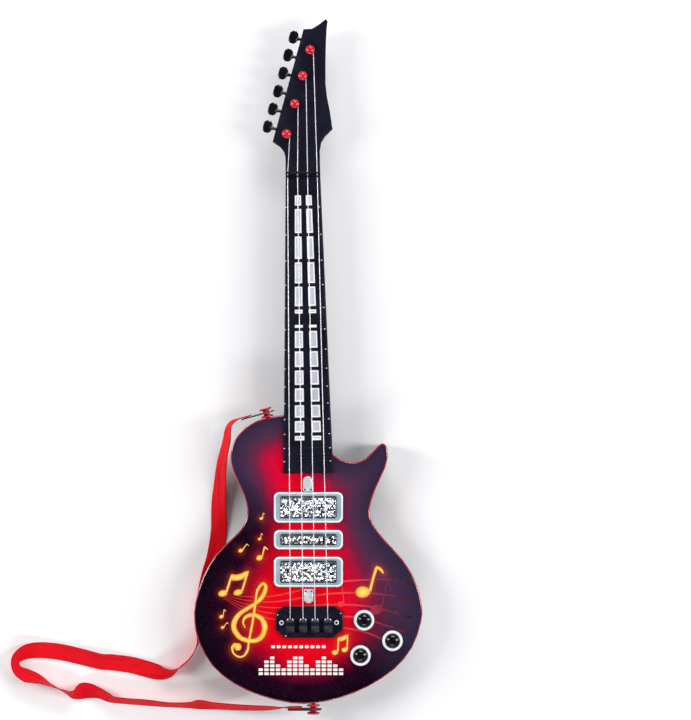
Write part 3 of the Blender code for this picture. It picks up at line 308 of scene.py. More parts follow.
class Finish:
    """A material under construction: short ways to add and join the nodes that most finishes need."""

    def __init__(self, name, roughness, metallic=0.0, coat=0.0, specular=0.5):
        self.material = bpy.data.materials.new(name)
        self.material.use_nodes = True
        self.tree = self.material.node_tree
        self.shader = self.tree.nodes["Principled BSDF"]
        self.shader.inputs["Roughness"].default_value = roughness
        self.shader.inputs["Metallic"].default_value = metallic
        self.shader.inputs["Coat Weight"].default_value = coat
        self.shader.inputs["Coat Roughness"].default_value = 0.06
        self.shader.inputs["Specular IOR Level"].default_value = specular
        self.place = self.node("ShaderNodeTexCoord").outputs["Object"]

    def node(self, kind, **settings):
        made = self.tree.nodes.new(kind)
        for key, value in settings.items():
            setattr(made, key, value)
        return made

    def join(self, source, target):
        self.tree.links.new(source, target)

    def noise(self, scale, detail=4.0, stretch=(1.0, 1.0, 1.0)):
        """Noise with about `scale` features to the metre, stretched along the axes."""
        mapping = self.node("ShaderNodeMapping")
        mapping.inputs["Scale"].default_value = stretch
        self.join(self.place, mapping.inputs["Vector"])
        made = self.node("ShaderNodeTexNoise")
        made.inputs["Scale"].default_value = scale
        made.inputs["Detail"].default_value = detail
        self.join(mapping.outputs["Vector"], made.inputs["Vector"])
        return made.outputs["Fac"]

    def wave(self, per_metre, direction, profile="SIN", distortion=0.0):
        made = self.node("ShaderNodeTexWave", bands_direction=direction, wave_profile=profile)
        made.inputs["Scale"].default_value = per_metre / 20.0 * 2 * math.pi
        made.inputs["Distortion"].default_value = distortion
        self.join(self.place, made.inputs["Vector"])
        return made.outputs["Fac"]

    def attribute(self, name):
        return self.node("ShaderNodeAttribute", attribute_name=name).outputs["Fac"]

    def ramp(self, source, stops):
        made = self.node("ShaderNodeValToRGB")
        elements = made.color_ramp.elements
        while len(elements) < len(stops):
            elements.new(0.5)
        for element, (at, color) in zip(elements, stops):
            element.position = at
            element.color = (*color, 1.0)
        self.join(source, made.inputs["Fac"])
        return made.outputs["Color"]

    def mix(self, share, first, second, blend="MIX"):
        made = self.node("ShaderNodeMix", data_type="RGBA", blend_type=blend)
        for value, socket in ((share, made.inputs[0]), (first, made.inputs[6]), (second, made.inputs[7])):
            if isinstance(value, float):
                socket.default_value = value
            elif isinstance(value, tuple):
                socket.default_value = (*value, 1.0)
            else:
                self.join(value, socket)
        return made.outputs[2]

    def spread(self, source, low, high, to_low=0.0, to_high=1.0):
        made = self.node("ShaderNodeMapRange")
        made.inputs["From Min"].default_value = low
        made.inputs["From Max"].default_value = high
        made.inputs["To Min"].default_value = to_low
        made.inputs["To Max"].default_value = to_high
        self.join(source, made.inputs["Value"])
        return made.outputs["Result"]

    def color(self, source):
        self.join(source, self.shader.inputs["Base Color"])

    def roughen(self, source, low, high):
        self.join(self.spread(source, 0.3, 0.7, low, high), self.shader.inputs["Roughness"])

    def bump(self, source, strength, distance=0.0002):
        made = self.node("ShaderNodeBump")
        made.inputs["Strength"].default_value = strength
        made.inputs["Distance"].default_value = distance
        self.join(source, made.inputs["Height"])
        if self.shader.inputs["Normal"].is_linked:
            self.join(self.shader.inputs["Normal"].links[0].from_socket, made.inputs["Normal"])
        self.join(made.outputs["Normal"], self.shader.inputs["Normal"])

    def painted_edge_highlight(self, base, light, amount=0.35):
        """Paints a highlight on sharp corners: the colour turns lighter where the pointiness is high."""
        pointiness = self.node("ShaderNodeNewGeometry").outputs["Pointiness"]
        return self.mix(self.spread(pointiness, 0.52, 0.62, 0.0, amount), base, light)


def moulded(name, dark, light, roughness=(0.24, 0.4), grain=0.05, coat=0.0, specular=0.5):
    """Injection-moulded plastic: cloudy colour, uneven gloss, a fine spark-eroded grain and corners made
    paler as a painted highlight.
    """
    finish = Finish(name, roughness[0], coat=coat, specular=specular)
    base = finish.ramp(finish.noise(38.0), [(0.35, dark), (0.68, light)])
    # The paler colour on sharp corners is a painted highlight.
    finish.color(finish.painted_edge_highlight(base, tuple(min(1.0, 1.8 * value + 0.004) for value in light)))
    finish.roughen(finish.noise(120.0, 6.0), *roughness)
    finish.bump(finish.noise(2600.0, 2.0), grain, 0.0001)
    return finish.material


def metal(name, dark, light, roughness, stretch=(1.0, 1.0, 1.0), grain=0.04):
    """Plated or drawn metal with faint streaks."""
    finish = Finish(name, roughness[0], metallic=1.0)
    base = finish.ramp(finish.noise(150.0, 5.0, stretch), [(0.3, dark), (0.7, light)])
    # Sharp corners lightened towards white: painted highlight.
    finish.color(finish.painted_edge_highlight(base, (0.98, 0.98, 1.0), 0.5))
    finish.roughen(finish.noise(420.0, 5.0, stretch), *roughness)
    finish.bump(finish.noise(1500.0, 3.0, stretch), grain, 0.0001)
    return finish.material


def sunburst():
    """The face print: red in the middle, burnt to black on the left and to purple navy on the right."""
    finish = Finish("face_print", 0.2, coat=0.3, specular=0.25)
    burn = finish.attribute("burn")
    cool = finish.attribute("cool")
    mottle = finish.noise(55.0, 6.0)
    shifted = finish.node("ShaderNodeMath", operation="MULTIPLY_ADD")
    shifted.inputs[1].default_value = 0.10
    finish.join(mottle, shifted.inputs[0])
    finish.join(finish.spread(burn, 0.0, 1.0, -0.05, 0.95), shifted.inputs[2])
    shade = shifted.outputs[0]
    warm = finish.ramp(shade, [
        (0.0, (0.84, 0.0, 0.008)), (0.36, (0.74, 0.0, 0.010)), (0.50, (0.42, 0.0, 0.012)),
        (0.62, (0.12, 0.0, 0.014)), (0.74, (0.014, 0.0, 0.009)), (1.0, (0.001, 0.001, 0.005)),
    ])
    cold = finish.ramp(shade, [
        (0.0, (0.80, 0.0, 0.018)), (0.30, (0.68, 0.001, 0.030)), (0.46, (0.42, 0.004, 0.042)),
        (0.58, (0.16, 0.014, 0.050)), (0.72, (0.066, 0.024, 0.062)), (1.0, (0.018, 0.018, 0.046)),
    ])
    base = finish.mix(cool, warm, cold)
    glow = finish.attribute("glow")
    lit = finish.mix(glow, base, (0.95, 0.09, 0.004))
    speck = finish.spread(finish.noise(1900.0, 2.0), 0.62, 0.78, 0.0, 0.16)
    finish.color(finish.mix(speck, lit, (0.5, 0.3, 0.4)))
    finish.roughen(finish.noise(90.0, 5.0), 0.16, 0.3)
    finish.bump(finish.noise(700.0, 4.0), 0.03, 0.0001)
    return finish.material


def gold_ink():
    finish = Finish("gold_ink", 0.3, coat=0.3)
    core = finish.attribute("core")
    base = finish.ramp(core, [
        (0.0, (0.50, 0.085, 0.004)), (0.3, (0.84, 0.26, 0.008)), (0.65, (0.97, 0.50, 0.022)),
        (1.0, (1.0, 0.73, 0.16)),
    ])
    finish.color(finish.mix(finish.spread(finish.noise(110.0), 0.45, 0.7, 0.0, 0.5), base, (1.0, 0.74, 0.30)))
    finish.roughen(finish.noise(300.0), 0.22, 0.36)
    finish.bump(finish.noise(900.0, 3.0), 0.04, 0.0001)
    return finish.material


def staff_ink():
    """Pale red ink that sinks into the dark towards the right."""
    finish = Finish("staff_ink", 0.3)
    across = finish.node("ShaderNodeSeparateXYZ")
    finish.join(finish.place, across.inputs[0])
    fade = finish.spread(across.outputs["X"], -0.085, 0.1)
    base = finish.ramp(fade, [
        (0.0, (0.16, 0.004, 0.014)), (0.22, (0.80, 0.050, 0.045)), (0.66, (0.86, 0.055, 0.050)),
        (0.80, (0.26, 0.030, 0.060)), (0.90, (0.060, 0.018, 0.045)), (0.98, (0.010, 0.008, 0.020)),
    ])
    uneven = finish.spread(finish.noise(160.0), 0.4, 0.7, 0.0, 0.3)
    finish.color(finish.mix(uneven, base, (0.60, 0.012, 0.02)))
    finish.roughen(finish.noise(260.0), 0.22, 0.36)
    return finish.material


def white_ink():
    finish = Finish("white_ink", 0.3)
    base = finish.ramp(finish.noise(210.0, 5.0), [(0.3, (0.96, 0.80, 0.78)), (0.6, (1.0, 0.98, 0.97))])
    finish.color(base)
    finish.roughen(finish.noise(300.0), 0.25, 0.4)
    finish.bump(finish.noise(900.0), 0.05, 0.0001)
    return finish.material


def webbing():
    """Woven polypropylene: diagonal ribs across the width, dark selvedges, the odd fuzzy thread, and painted
    shade in its folds.
    """
    finish = Finish("red_webbing", 0.66, specular=0.14)
    finish.shader.inputs["Sheen Weight"].default_value = 0.06
    finish.shader.inputs["Sheen Tint"].default_value = (1.0, 0.2, 0.2, 1.0)
    along = finish.attribute("along")
    across = finish.attribute("across")
    joined = finish.node("ShaderNodeCombineXYZ")
    finish.join(along, joined.inputs[0])
    finish.join(across, joined.inputs[1])
    ribs = []
    for turn in (45.0, -45.0):
        mapping = finish.node("ShaderNodeMapping")
        mapping.inputs["Rotation"].default_value = (0.0, 0.0, math.radians(turn))
        finish.join(joined.outputs[0], mapping.inputs["Vector"])
        wave = finish.node("ShaderNodeTexWave", bands_direction="X")
        wave.inputs["Scale"].default_value = 0.32
        finish.join(mapping.outputs[0], wave.inputs["Vector"])
        ribs.append(wave.outputs["Fac"])
    weave = finish.mix(0.5, ribs[0], ribs[1], "MULTIPLY")
    threads = [(0.1, (0.66, 0.0, 0.006)), (0.5, (0.90, 0.0, 0.012)), (0.9, (1.0, 0.002, 0.020))]
    cloth = finish.ramp(weave, threads)
    wear_and_fold_shade = finish.mix(finish.spread(finish.noise(70.0, 6.0), 0.4, 0.75, 0.0, 0.4), cloth, (0.74, 0.0, 0.010))
    stretch = finish.node("ShaderNodeMapping")
    stretch.inputs["Scale"].default_value = (0.018, 0.16, 1.0)
    finish.join(joined.outputs[0], stretch.inputs["Vector"])
    folds = finish.node("ShaderNodeTexNoise")
    folds.inputs["Scale"].default_value = 1.0
    folds.inputs["Detail"].default_value = 3.0
    finish.join(stretch.outputs[0], folds.inputs["Vector"])
    # Darker where the fold noise is high: painted shade in the folds, laid over the random wear.
    wear_and_fold_shade = finish.mix(finish.spread(folds.outputs["Fac"], 0.56, 0.70, 0.0, 0.6), wear_and_fold_shade, (0.36, 0.0, 0.010))
    side = finish.node("ShaderNodeMath", operation="ABSOLUTE")
    finish.join(across, side.inputs[0])
    selvedge = finish.spread(side.outputs[0], 6.2, 7.6, 0.0, 0.55)
    finish.color(finish.mix(selvedge, wear_and_fold_shade, (0.30, 0.0, 0.006)))
    finish.roughen(finish.noise(400.0), 0.5, 0.75)
    finish.bump(folds.outputs["Fac"], 0.5, 0.0025)
    finish.bump(weave, 0.7, 0.0003)
    finish.bump(finish.noise(1400.0, 3.0), 0.25, 0.0002)
    return finish.material


def lens_silver():
    """Metallised back of the clear lens."""
    finish = Finish("lens_silver", 0.16, metallic=1.0, coat=0.3)
    base = finish.ramp(finish.noise(700.0, 3.0), [(0.38, (0.34, 0.37, 0.42)), (0.62, (0.86, 0.88, 0.93))])
    finish.color(base)
    finish.roughen(finish.noise(500.0), 0.12, 0.28)
    finish.bump(finish.noise(800.0), 0.04, 0.0001)
    return finish.material


def pod_plastic():
    """Smoky clear cover with a silvered back."""
    finish = Finish("pod_plastic", 0.1, coat=1.0)
    finish.shader.inputs["Transmission Weight"].default_value = 0.25
    base = finish.ramp(finish.noise(180.0, 3.0), [(0.3, (0.60, 0.68, 0.70)), (0.65, (0.93, 0.96, 0.97))])
    finish.color(base)
    finish.roughen(finish.noise(300.0), 0.06, 0.2)
    finish.bump(finish.noise(900.0), 0.03, 0.0001)
    return finish.material


def wound_steel():
    """String wire with its fine winding."""
    finish = Finish("wound_steel", 0.28, metallic=0.55)
    winding = finish.wave(1900.0, "Y")
    base = finish.ramp(winding, [(0.2, (0.74, 0.74, 0.78)), (0.8, (0.92, 0.92, 0.95))])
    finish.color(base)
    finish.roughen(finish.noise(500.0), 0.2, 0.38)
    finish.bump(winding, 0.12, 0.0001)
    return finish.material


def circuit_board():
    finish = Finish("circuit_board", 0.45)
    tracks = finish.wave(180.0, "X", "SAW", 6.0)
    base = finish.ramp(tracks, [(0.45, (0.008, 0.10, 0.03)), (0.52, (0.02, 0.22, 0.07))])
    uneven = finish.spread(finish.noise(220.0), 0.45, 0.6, 0.0, 0.5)
    finish.color(finish.mix(uneven, base, (0.01, 0.13, 0.04)))
    finish.roughen(finish.noise(200.0), 0.35, 0.55)
    finish.bump(tracks, 0.15, 0.0001)
    return finish.material


def cell_wrap():
    """Shrink wrap in two plain bands."""
    finish = Finish("cell_wrap", 0.3, coat=0.4)
    across = finish.node("ShaderNodeSeparateXYZ")
    finish.join(finish.place, across.inputs[0])
    bands = finish.ramp(finish.spread(across.outputs["Y"], -0.075, -0.023), [
        (0.0, (0.02, 0.022, 0.03)), (0.66, (0.03, 0.032, 0.045)), (0.68, (0.55, 0.30, 0.10)),
        (1.0, (0.62, 0.36, 0.13)),
    ])
    finish.color(finish.mix(finish.spread(finish.noise(90.0), 0.4, 0.7, 0.0, 0.25), bands, (0.2, 0.2, 0.22)))
    finish.roughen(finish.noise(240.0), 0.24, 0.4)
    finish.bump(finish.noise(600.0), 0.04, 0.0001)
    return finish.material


def make_materials():
    return {
        "red": moulded("red_plastic", (0.50, 0.002, 0.012), (0.66, 0.005, 0.020), (0.18, 0.3), 0.03, 0.4),
        # A darker copy of the red plastic for the shell's rim: painted shade.
        "shell": moulded("red_shell_painted_shade", (0.26, 0.001, 0.012), (0.40, 0.004, 0.022), (0.14, 0.24), 0.02, 0.9),
        "black": moulded("black_plastic", (0.004, 0.004, 0.010), (0.010, 0.010, 0.021),
                         (0.26, 0.4), 0.10, 0.0, 0.25),
        "board": moulded("board_plastic", (0.004, 0.004, 0.011), (0.010, 0.010, 0.022),
                         (0.3, 0.44), 0.12, 0.0, 0.2),
        "gloss": moulded("gloss_black", (0.003, 0.003, 0.005), (0.007, 0.007, 0.011),
                         (0.06, 0.14), 0.02, 0.5, 0.3),
        "bezel": moulded("silver_plastic", (0.25, 0.34, 0.39), (0.36, 0.46, 0.51), (0.28, 0.42), 0.05),
        # White used for painted highlights and painted reflections: bezel lips, plated rings and screw heads,
        # saddle shine, corner glints.
        "trim": moulded("white_painted_shine", (0.80, 0.83, 0.87), (0.94, 0.95, 0.98), (0.16, 0.28), 0.02, 0.5),
        "milky": moulded("milky_plastic", (0.34, 0.34, 0.41), (0.50, 0.50, 0.57), (0.3, 0.45), 0.06),
        "window": moulded("window_rim", (0.88, 0.88, 0.91), (1.0, 1.0, 1.0), (0.25, 0.4), 0.03),
        "tray": moulded("lens_tray", (0.10, 0.12, 0.15), (0.20, 0.23, 0.27), (0.3, 0.5), 0.05),
        "shadow": moulded("shadow_gap", (0.004, 0.003, 0.006), (0.012, 0.006, 0.010), (0.5, 0.7), 0.05),
        "rubber": moulded("grey_rubber", (0.20, 0.20, 0.22), (0.32, 0.32, 0.34), (0.6, 0.8), 0.2),
        "vinyl": moulded("black_vinyl", (0.008, 0.008, 0.010), (0.020, 0.020, 0.024), (0.4, 0.6), 0.5),
        "cone": moulded("speaker_paper", (0.010, 0.010, 0.011), (0.030, 0.030, 0.032), (0.7, 0.9), 0.6),
        "chrome": metal("chrome", (0.80, 0.81, 0.84), (0.95, 0.96, 0.98), (0.10, 0.24)),
        "steel": metal("steel", (0.52, 0.52, 0.55), (0.76, 0.76, 0.80), (0.24, 0.4), (1.0, 6.0, 1.0)),
        "strings": wound_steel(),
        "print": sunburst(),
        "gold": gold_ink(),
        "staff": staff_ink(),
        "ink": white_ink(),
        "webbing": webbing(),
        "lens": lens_silver(),
        "pod": pod_plastic(),
        "circuit": circuit_board(),
        "cell": cell_wrap(),
    }


# Points and outlines


def catmull_rom(before, start, end, after, share):
    squared = share * share
    cubed = squared * share
    return tuple(
        0.5 * (2 * b + (c - a) * share + (2 * a - 5 * b + 4 * c - d) * squared
               + (3 * b - a - 3 * c + d) * cubed)
        for a, b, c, d in zip(before, start, end, after)
    )


def smooth_line(points, steps):
    padded = [points[0], *points, points[-1]]
    line = []
    for index in range(len(points) - 1):
        for step in range(steps):
            line.append(catmull_rom(*padded[index:index + 4], step / steps))
    line.append(tuple(points[-1]))
    return line


def circle(radius, steps, middle=(0.0, 0.0)):
    angles = [2 * math.pi * step / steps for step in range(steps)]
    return [(middle[0] + radius * math.cos(a), middle[1] + radius * math.sin(a)) for a in angles]


def rounded_rectangle(width, height, radius, steps=6, middle=(0.0, 0.0)):
    points = []
    for quarter in range(4):
        corner_x = (width / 2 - radius) * (1 if quarter in (0, 3) else -1)
        corner_y = (height / 2 - radius) * (1 if quarter in (0, 1) else -1)
        for step in range(steps + 1):
            angle = (quarter + step / steps) * math.pi / 2
            points.append((middle[0] + corner_x + radius * math.cos(angle),
                           middle[1] + corner_y + radius * math.sin(angle)))
    return points


def box_of(node):
    """Lowest corner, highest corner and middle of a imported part, in millimetres."""
    low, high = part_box(node)
    return low / MM, high / MM, (low + high) / 2 / MM


def packed_mesh(node, merge=True):
    """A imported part's mesh in millimetres, with its split corners merged."""
    mesh = bmesh.new()
    mesh.from_mesh(frame["nodes"][node].data)
    bmesh.ops.scale(mesh, vec=(1 / MM, 1 / MM, 1 / MM), verts=mesh.verts)
    if merge:
        bmesh.ops.remove_doubles(mesh, verts=mesh.verts, dist=MERGE_REACH)
    return mesh


def cad_mesh(node):
    """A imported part's mesh with its split corners merged and its flat faces whole."""
    mesh = packed_mesh(node)
    bmesh.ops.dissolve_limit(mesh, angle_limit=FLAT_ANGLE, verts=mesh.verts, edges=mesh.edges)
    return mesh


def at_height(vert, height):
    return abs(vert.co.z - height) < LEVEL_REACH


def level_chain(node, height):
    """An open run of edges round a part at one height, from its leftmost end, as (x, y) points."""
    mesh = packed_mesh(node)
    beside = {}
    for edge in mesh.edges:
        if all(at_height(vert, height) for vert in edge.verts):
            first, second = edge.verts
            beside.setdefault(first, []).append(second)
            beside.setdefault(second, []).append(first)
    chain = [min((vert for vert in beside if len(beside[vert]) == 1), key=lambda vert: vert.co.x)]
    onward = beside[chain[0]]
    while onward:
        chain.append(onward[0])
        onward = [vert for vert in beside[chain[-1]] if vert not in chain]
    points = [(vert.co.x, vert.co.y) for vert in chain]
    mesh.free()
    return points


def neck_frame():
    """The neck's own frame: x across it, y along it, from the middle of its end on the body."""
    mesh = cad_mesh("fingerboard")
    corners = sorted((vert.co.copy() for vert in mesh.verts if at_height(vert, BOARD_EDGE_Z)),
                     key=lambda point: point.y)
    mesh.free()
    foot = (corners[0] + corners[1]) / 2
    head = (corners[-1] + corners[-2]) / 2
    turn = math.atan2(foot.x - head.x, head.y - foot.y)
    half = (corners[0] - corners[1]).length / 2
    return Matrix.Translation((foot.x, foot.y, 0.0)) @ Matrix.Rotation(turn, 4, "Z"), half


# Meshes


def add_loft(mesh, rings, closed=False):
    rows = [[mesh.verts.new(point) for point in ring] for ring in rings]
    for low, high in zip(rows, rows[1:] + rows[:1] if closed else rows[1:]):
        for index in range(len(low)):
            after = (index + 1) % len(low)
            mesh.faces.new((low[index], low[after], high[after], high[index]))
    if not closed:
        mesh.faces.new(rows[0])
        mesh.faces.new(rows[-1])
    return rows


def add_prism(mesh, outline, bottom, top):
    add_loft(mesh, [[(x, y, z) for x, y in outline] for z in (bottom, top)])


def add_turned(mesh, profile, steps, middle=(0.0, 0.0), closed=False):
    add_loft(mesh, [[(x, y, z) for x, y in circle(radius, steps, middle)] for radius, z in profile], closed)


def join_mesh(target, other):
    copy = bpy.data.meshes.new("joining")
    other.to_mesh(copy)
    other.free()
    target.from_mesh(copy)
    bpy.data.meshes.remove(copy)


def piece(name, mesh, material, body=BODY, stands_for=(), sharp=35.0, flat=False):
    """An object from a mesh in millimetres, riding on a body."""
    if not flat:
        bmesh.ops.recalc_face_normals(mesh, faces=mesh.faces)
    bmesh.ops.scale(mesh, vec=(MM, MM, MM), verts=mesh.verts)
    data = bpy.data.meshes.new(name)
    mesh.to_mesh(data)
    mesh.free()
    if not flat:
        data.shade_smooth()
        data.set_sharp_from_angle(angle=math.radians(sharp))
    data.materials.append(material)
    item = bpy.data.objects.new(name, data)
    bpy.context.scene.collection.objects.link(item)
    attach(item, body)
    if stands_for:
        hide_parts(*stands_for)
    return item


def bevel(item, width, segments=2, angle=38.0):
    modifier = item.modifiers.new("rounded_edges", "BEVEL")
    modifier.width = width * MM
    modifier.segments = segments
    modifier.limit_method = "ANGLE"
    modifier.angle_limit = math.radians(angle)
    modifier.harden_normals = True
    return item


def refined(node, material, width=0.3, segments=2, mesh=None):
    """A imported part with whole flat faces, smooth shading and rounded edges."""
    body = frame["nodes"][node]["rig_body"]
    item = piece(f"{node}_look", mesh or cad_mesh(node), material, body, (node,))
    return bevel(item, width, segments) if width else item


def carve(mesh, cutter):
    """Takes one closed mesh out of another and returns what is left."""
    items = []
    for label, part in (("carved", mesh), ("carver", cutter)):
        bmesh.ops.recalc_face_normals(part, faces=part.faces)
        data = bpy.data.meshes.new(label)
        part.to_mesh(data)
        part.free()
        item = bpy.data.objects.new(label, data)
        bpy.context.scene.collection.objects.link(item)
        items.append(item)
    modifier = items[0].modifiers.new("cut", "BOOLEAN")
    modifier.operation = "DIFFERENCE"
    modifier.object = items[1]
    bpy.context.view_layer.update()
    graph = bpy.context.evaluated_depsgraph_get()
    result = bmesh.new()
    result.from_object(items[0], graph)
    for item in items:
        bpy.data.objects.remove(item, do_unlink=True)
    return result


# Printed face


def inward_shift(points, distance):
    """An open outline walked round the body, moved in towards the body by a distance."""
    moved = []
    area = sum(a[0] * b[1] - b[0] * a[1] for a, b in zip(points, points[1:] + points[:1]))
    side = 1.0 if area > 0 else -1.0
    for index, here in enumerate(points):
        before = Vector(points[max(index - 1, 0)])
        after = Vector(points[min(index + 1, len(points) - 1)])
        along = (after - before).normalized()
        moved.append((here[0] - along.y * distance * side, here[1] + along.x * distance * side))
    return moved


def inside(points, outline):
    """Which of the points lie inside an outline."""
    x, y = points[:, 0], points[:, 1]
    result = np.zeros(len(points), bool)
    for (x0, y0), (x1, y1) in zip(outline, outline[1:] + outline[:1]):
        if y0 != y1:
            crosses = (y0 > y) != (y1 > y)
            result ^= crosses & (x < (x1 - x0) * (y - y0) / (y1 - y0) + x0)
    return result


def distance_to(points, line, closed=False):
    """Distance from each point to the nearest stretch of a line."""
    nearest = np.full(len(points), 1e9)
    ends = line[1:] + line[:1] if closed else line[1:]
    for start, end in zip(np.array(line, float), np.array(ends, float)):
        along = end - start
        length = max(float(along @ along), 1e-9)
        share = np.clip(((points - start) @ along) / length, 0.0, 1.0)
        nearest = np.minimum(nearest, np.linalg.norm(points - start - share[:, None] * along, axis=1))
    return nearest


def face_holes():
    holes = []
    for index in range(3):
        low, high, middle = box_of(f"pickup_bezel_{index + 1}")
        holes.append(rounded_rectangle(high.x - low.x - 3.0, high.y - low.y - 3.0, 3.5, 4, middle))
        middle = box_of(f"button_ring_{index + 1}")[2]
        holes.append(circle(8.7, 28, middle))
    for name in ("ir_emitter_pod", "ir_receiver_pod"):
        low, high, middle = box_of(name)
        holes.append(rounded_rectangle(high.x - low.x - 1.0, high.y - low.y - 1.0, 3.0, 4, middle))
    return holes


def print_outline(rim, neck, neck_half):
    """The face's edge, moved in, with the end of the neck cut out of it."""
    outline = inward_shift(smooth_line(rim, 2), PRINT_INSET)
    across, below = neck_half + NECK_GAP[0], NECK_GAP[1]
    corners = [neck @ Vector((side * across, -below, 0.0)) for side in (-1, 1)]
    corners.sort(key=lambda point: (point.xy - Vector(outline[-1])).length)
    return outline + [(point.x, point.y) for point in corners]


def print_sheet(outline, holes):
    """A flat mesh of the print, with points close enough to carry its shading."""
    (low_x, high_x), (low_y, high_y) = PRINT_SPAN
    columns, rows = np.arange(low_x, high_x, PRINT_GRID), np.arange(low_y, high_y, PRINT_GRID)
    grid = np.array([(x, y) for x in columns for y in rows])
    keep = inside(grid, outline) & (distance_to(grid, outline, True) > 0.9)
    for hole in holes:
        keep &= ~inside(grid, hole) & (distance_to(grid, hole, True) > 0.7)
    points, edges = [], []
    for loop in (outline, *holes):
        start = len(points)
        points += [Vector(point) for point in loop]
        edges += [(start + index, start + (index + 1) % len(loop)) for index in range(len(loop))]
    points += [Vector(point) for point in grid[keep]]
    flat, _, triangles, *_ = delaunay_2d_cdt(points, edges, [], 0, 1e-5)
    flat = np.array(flat)
    middles = np.array([flat[list(triangle)].mean(0) for triangle in triangles])
    wanted = inside(middles, outline)
    for hole in holes:
        wanted &= ~inside(middles, hole)
    mesh = bmesh.new()
    corner = [mesh.verts.new((x, y, PRINT)) for x, y in flat]
    for triangle, wants in zip(triangles, wanted):
        if wants:
            mesh.faces.new([corner[index] for index in triangle])
    bmesh.ops.delete(mesh, geom=[vert for vert in mesh.verts if not vert.link_faces], context="VERTS")
    if mesh.faces[:][0].normal.z < 0:
        bmesh.ops.reverse_faces(mesh, faces=mesh.faces)
    return mesh


def gold_glow(places):
    """How much each point of the print is lit by the gold ink beside it."""
    gold_lines = [([point[:2] for point in smooth_line(CLEF, 3)], 2.2)]
    for strokes in NOTE_STROKES.values():
        gold_lines += [([point[:2] for point in stroke], 1.6) for stroke in strokes]
    for heads in NOTE_HEADS.values():
        gold_lines += [([head[:2], head[:2]], head[3]) for head in heads]
    gold_lines += [([note[:2], note[:2]], note[2]) for note in SMALL_NOTES]
    glow = np.zeros(len(places))
    for line, reach in gold_lines:
        away = np.maximum(distance_to(places, [tuple(point) for point in line]) - reach, 0.0)
        glow = np.maximum(glow, GLOW_PEAK * np.exp(-away / GLOW_FADE))
    return glow


def make_face_print(materials, rim, neck, neck_half):
    """The printed sheet. It carries how burnt, how cool and how lit by the gold each of its points is."""
    mesh = print_sheet(print_outline(rim, neck, neck_half), face_holes())
    places = np.array([vert.co.xy for vert in mesh.verts])
    item = piece("face_print", mesh, materials["print"], flat=True)
    edge = distance_to(places, rim)
    spine = distance_to(places, list(SUN_SPINE))
    to_right = (places[:, 0] * 0.9 + places[:, 1] * 0.5 + 4.0) / 60.0
    to_head = (places[:, 1] - 25.0) / 55.0
    shading = {
        "burn": spine / (spine + edge + 1.0),
        "cool": np.clip(np.maximum(to_right, to_head), 0.0, 1.0),
        "glow": gold_glow(places),
    }
    for name, values in shading.items():
        item.data.attributes.new(name, "FLOAT", "POINT").data.foreach_set("value", values.astype(np.float32))
    solid = item.modifiers.new("sheet", "SOLIDIFY")
    solid.thickness = PRINT_THICKNESS * MM
    solid.offset = -1.0


def stroke_mesh(mesh, line, height, core, rise=0.0):
    """A printed stroke with a domed top along (x, y, width) points. Its core value runs 0 to 1 inwards."""
    rings = []
    for index, (x, y, width) in enumerate(line):
        before = Vector(line[max(index - 1, 0)][:2])
        after = Vector(line[min(index + 1, len(line) - 1)][:2])
        along = (after - before).normalized()
        side = Vector((-along.y, along.x)) * width / 2
        lift = rise * index / len(line)
        ring = [(x + side.x * share, y + side.y * share, INK + lift + height * up)
                for share, up, _ in STROKE_DOME]
        ring += [(x + side.x * share, y + side.y * share, PRINT - 0.05 + lift) for share in (1.0, -1.0)]
        rings.append(ring)
    values = [value for _, _, value in STROKE_DOME] + [0.0, 0.0]
    for row in add_loft(mesh, rings):
        for vert, value in zip(row, values):
            vert[core] = value


def head_mesh(mesh, head, height, core, lift=0.04):
    """A printed note head: a low oval dome. Its core value runs 0 to 1 inwards."""
    x, y, long_half, short_half, lean = head
    turn = math.radians(lean)
    rings = []
    for share, up, _ in HEAD_DOME:
        ring = []
        for a, b in circle(1.0, 24):
            across, along = a * long_half * share, b * short_half * share
            ring.append((x + across * math.cos(turn) - along * math.sin(turn),
                         y + across * math.sin(turn) + along * math.cos(turn), INK + lift + height * up))
        rings.append(ring)
    for row, (_, _, value) in zip(add_loft(mesh, rings), HEAD_DOME):
        for vert in row:
            vert[core] = value


def round_ends(line):
    """Adds narrow points at both ends, so that a stroke finishes round."""
    result = list(line)
    for end, inner in ((0, 1), (-1, -2)):
        x, y, width = line[end]
        away = (Vector((x, y)) - Vector(line[inner][:2])).normalized()
        tips = [(x + away.x * width * reach, y + away.y * width * reach, width * share)
                for reach, share in ((0.25, 0.86), (0.42, 0.5))]
        result = list(reversed(tips)) + result if end == 0 else result + tips
    return result


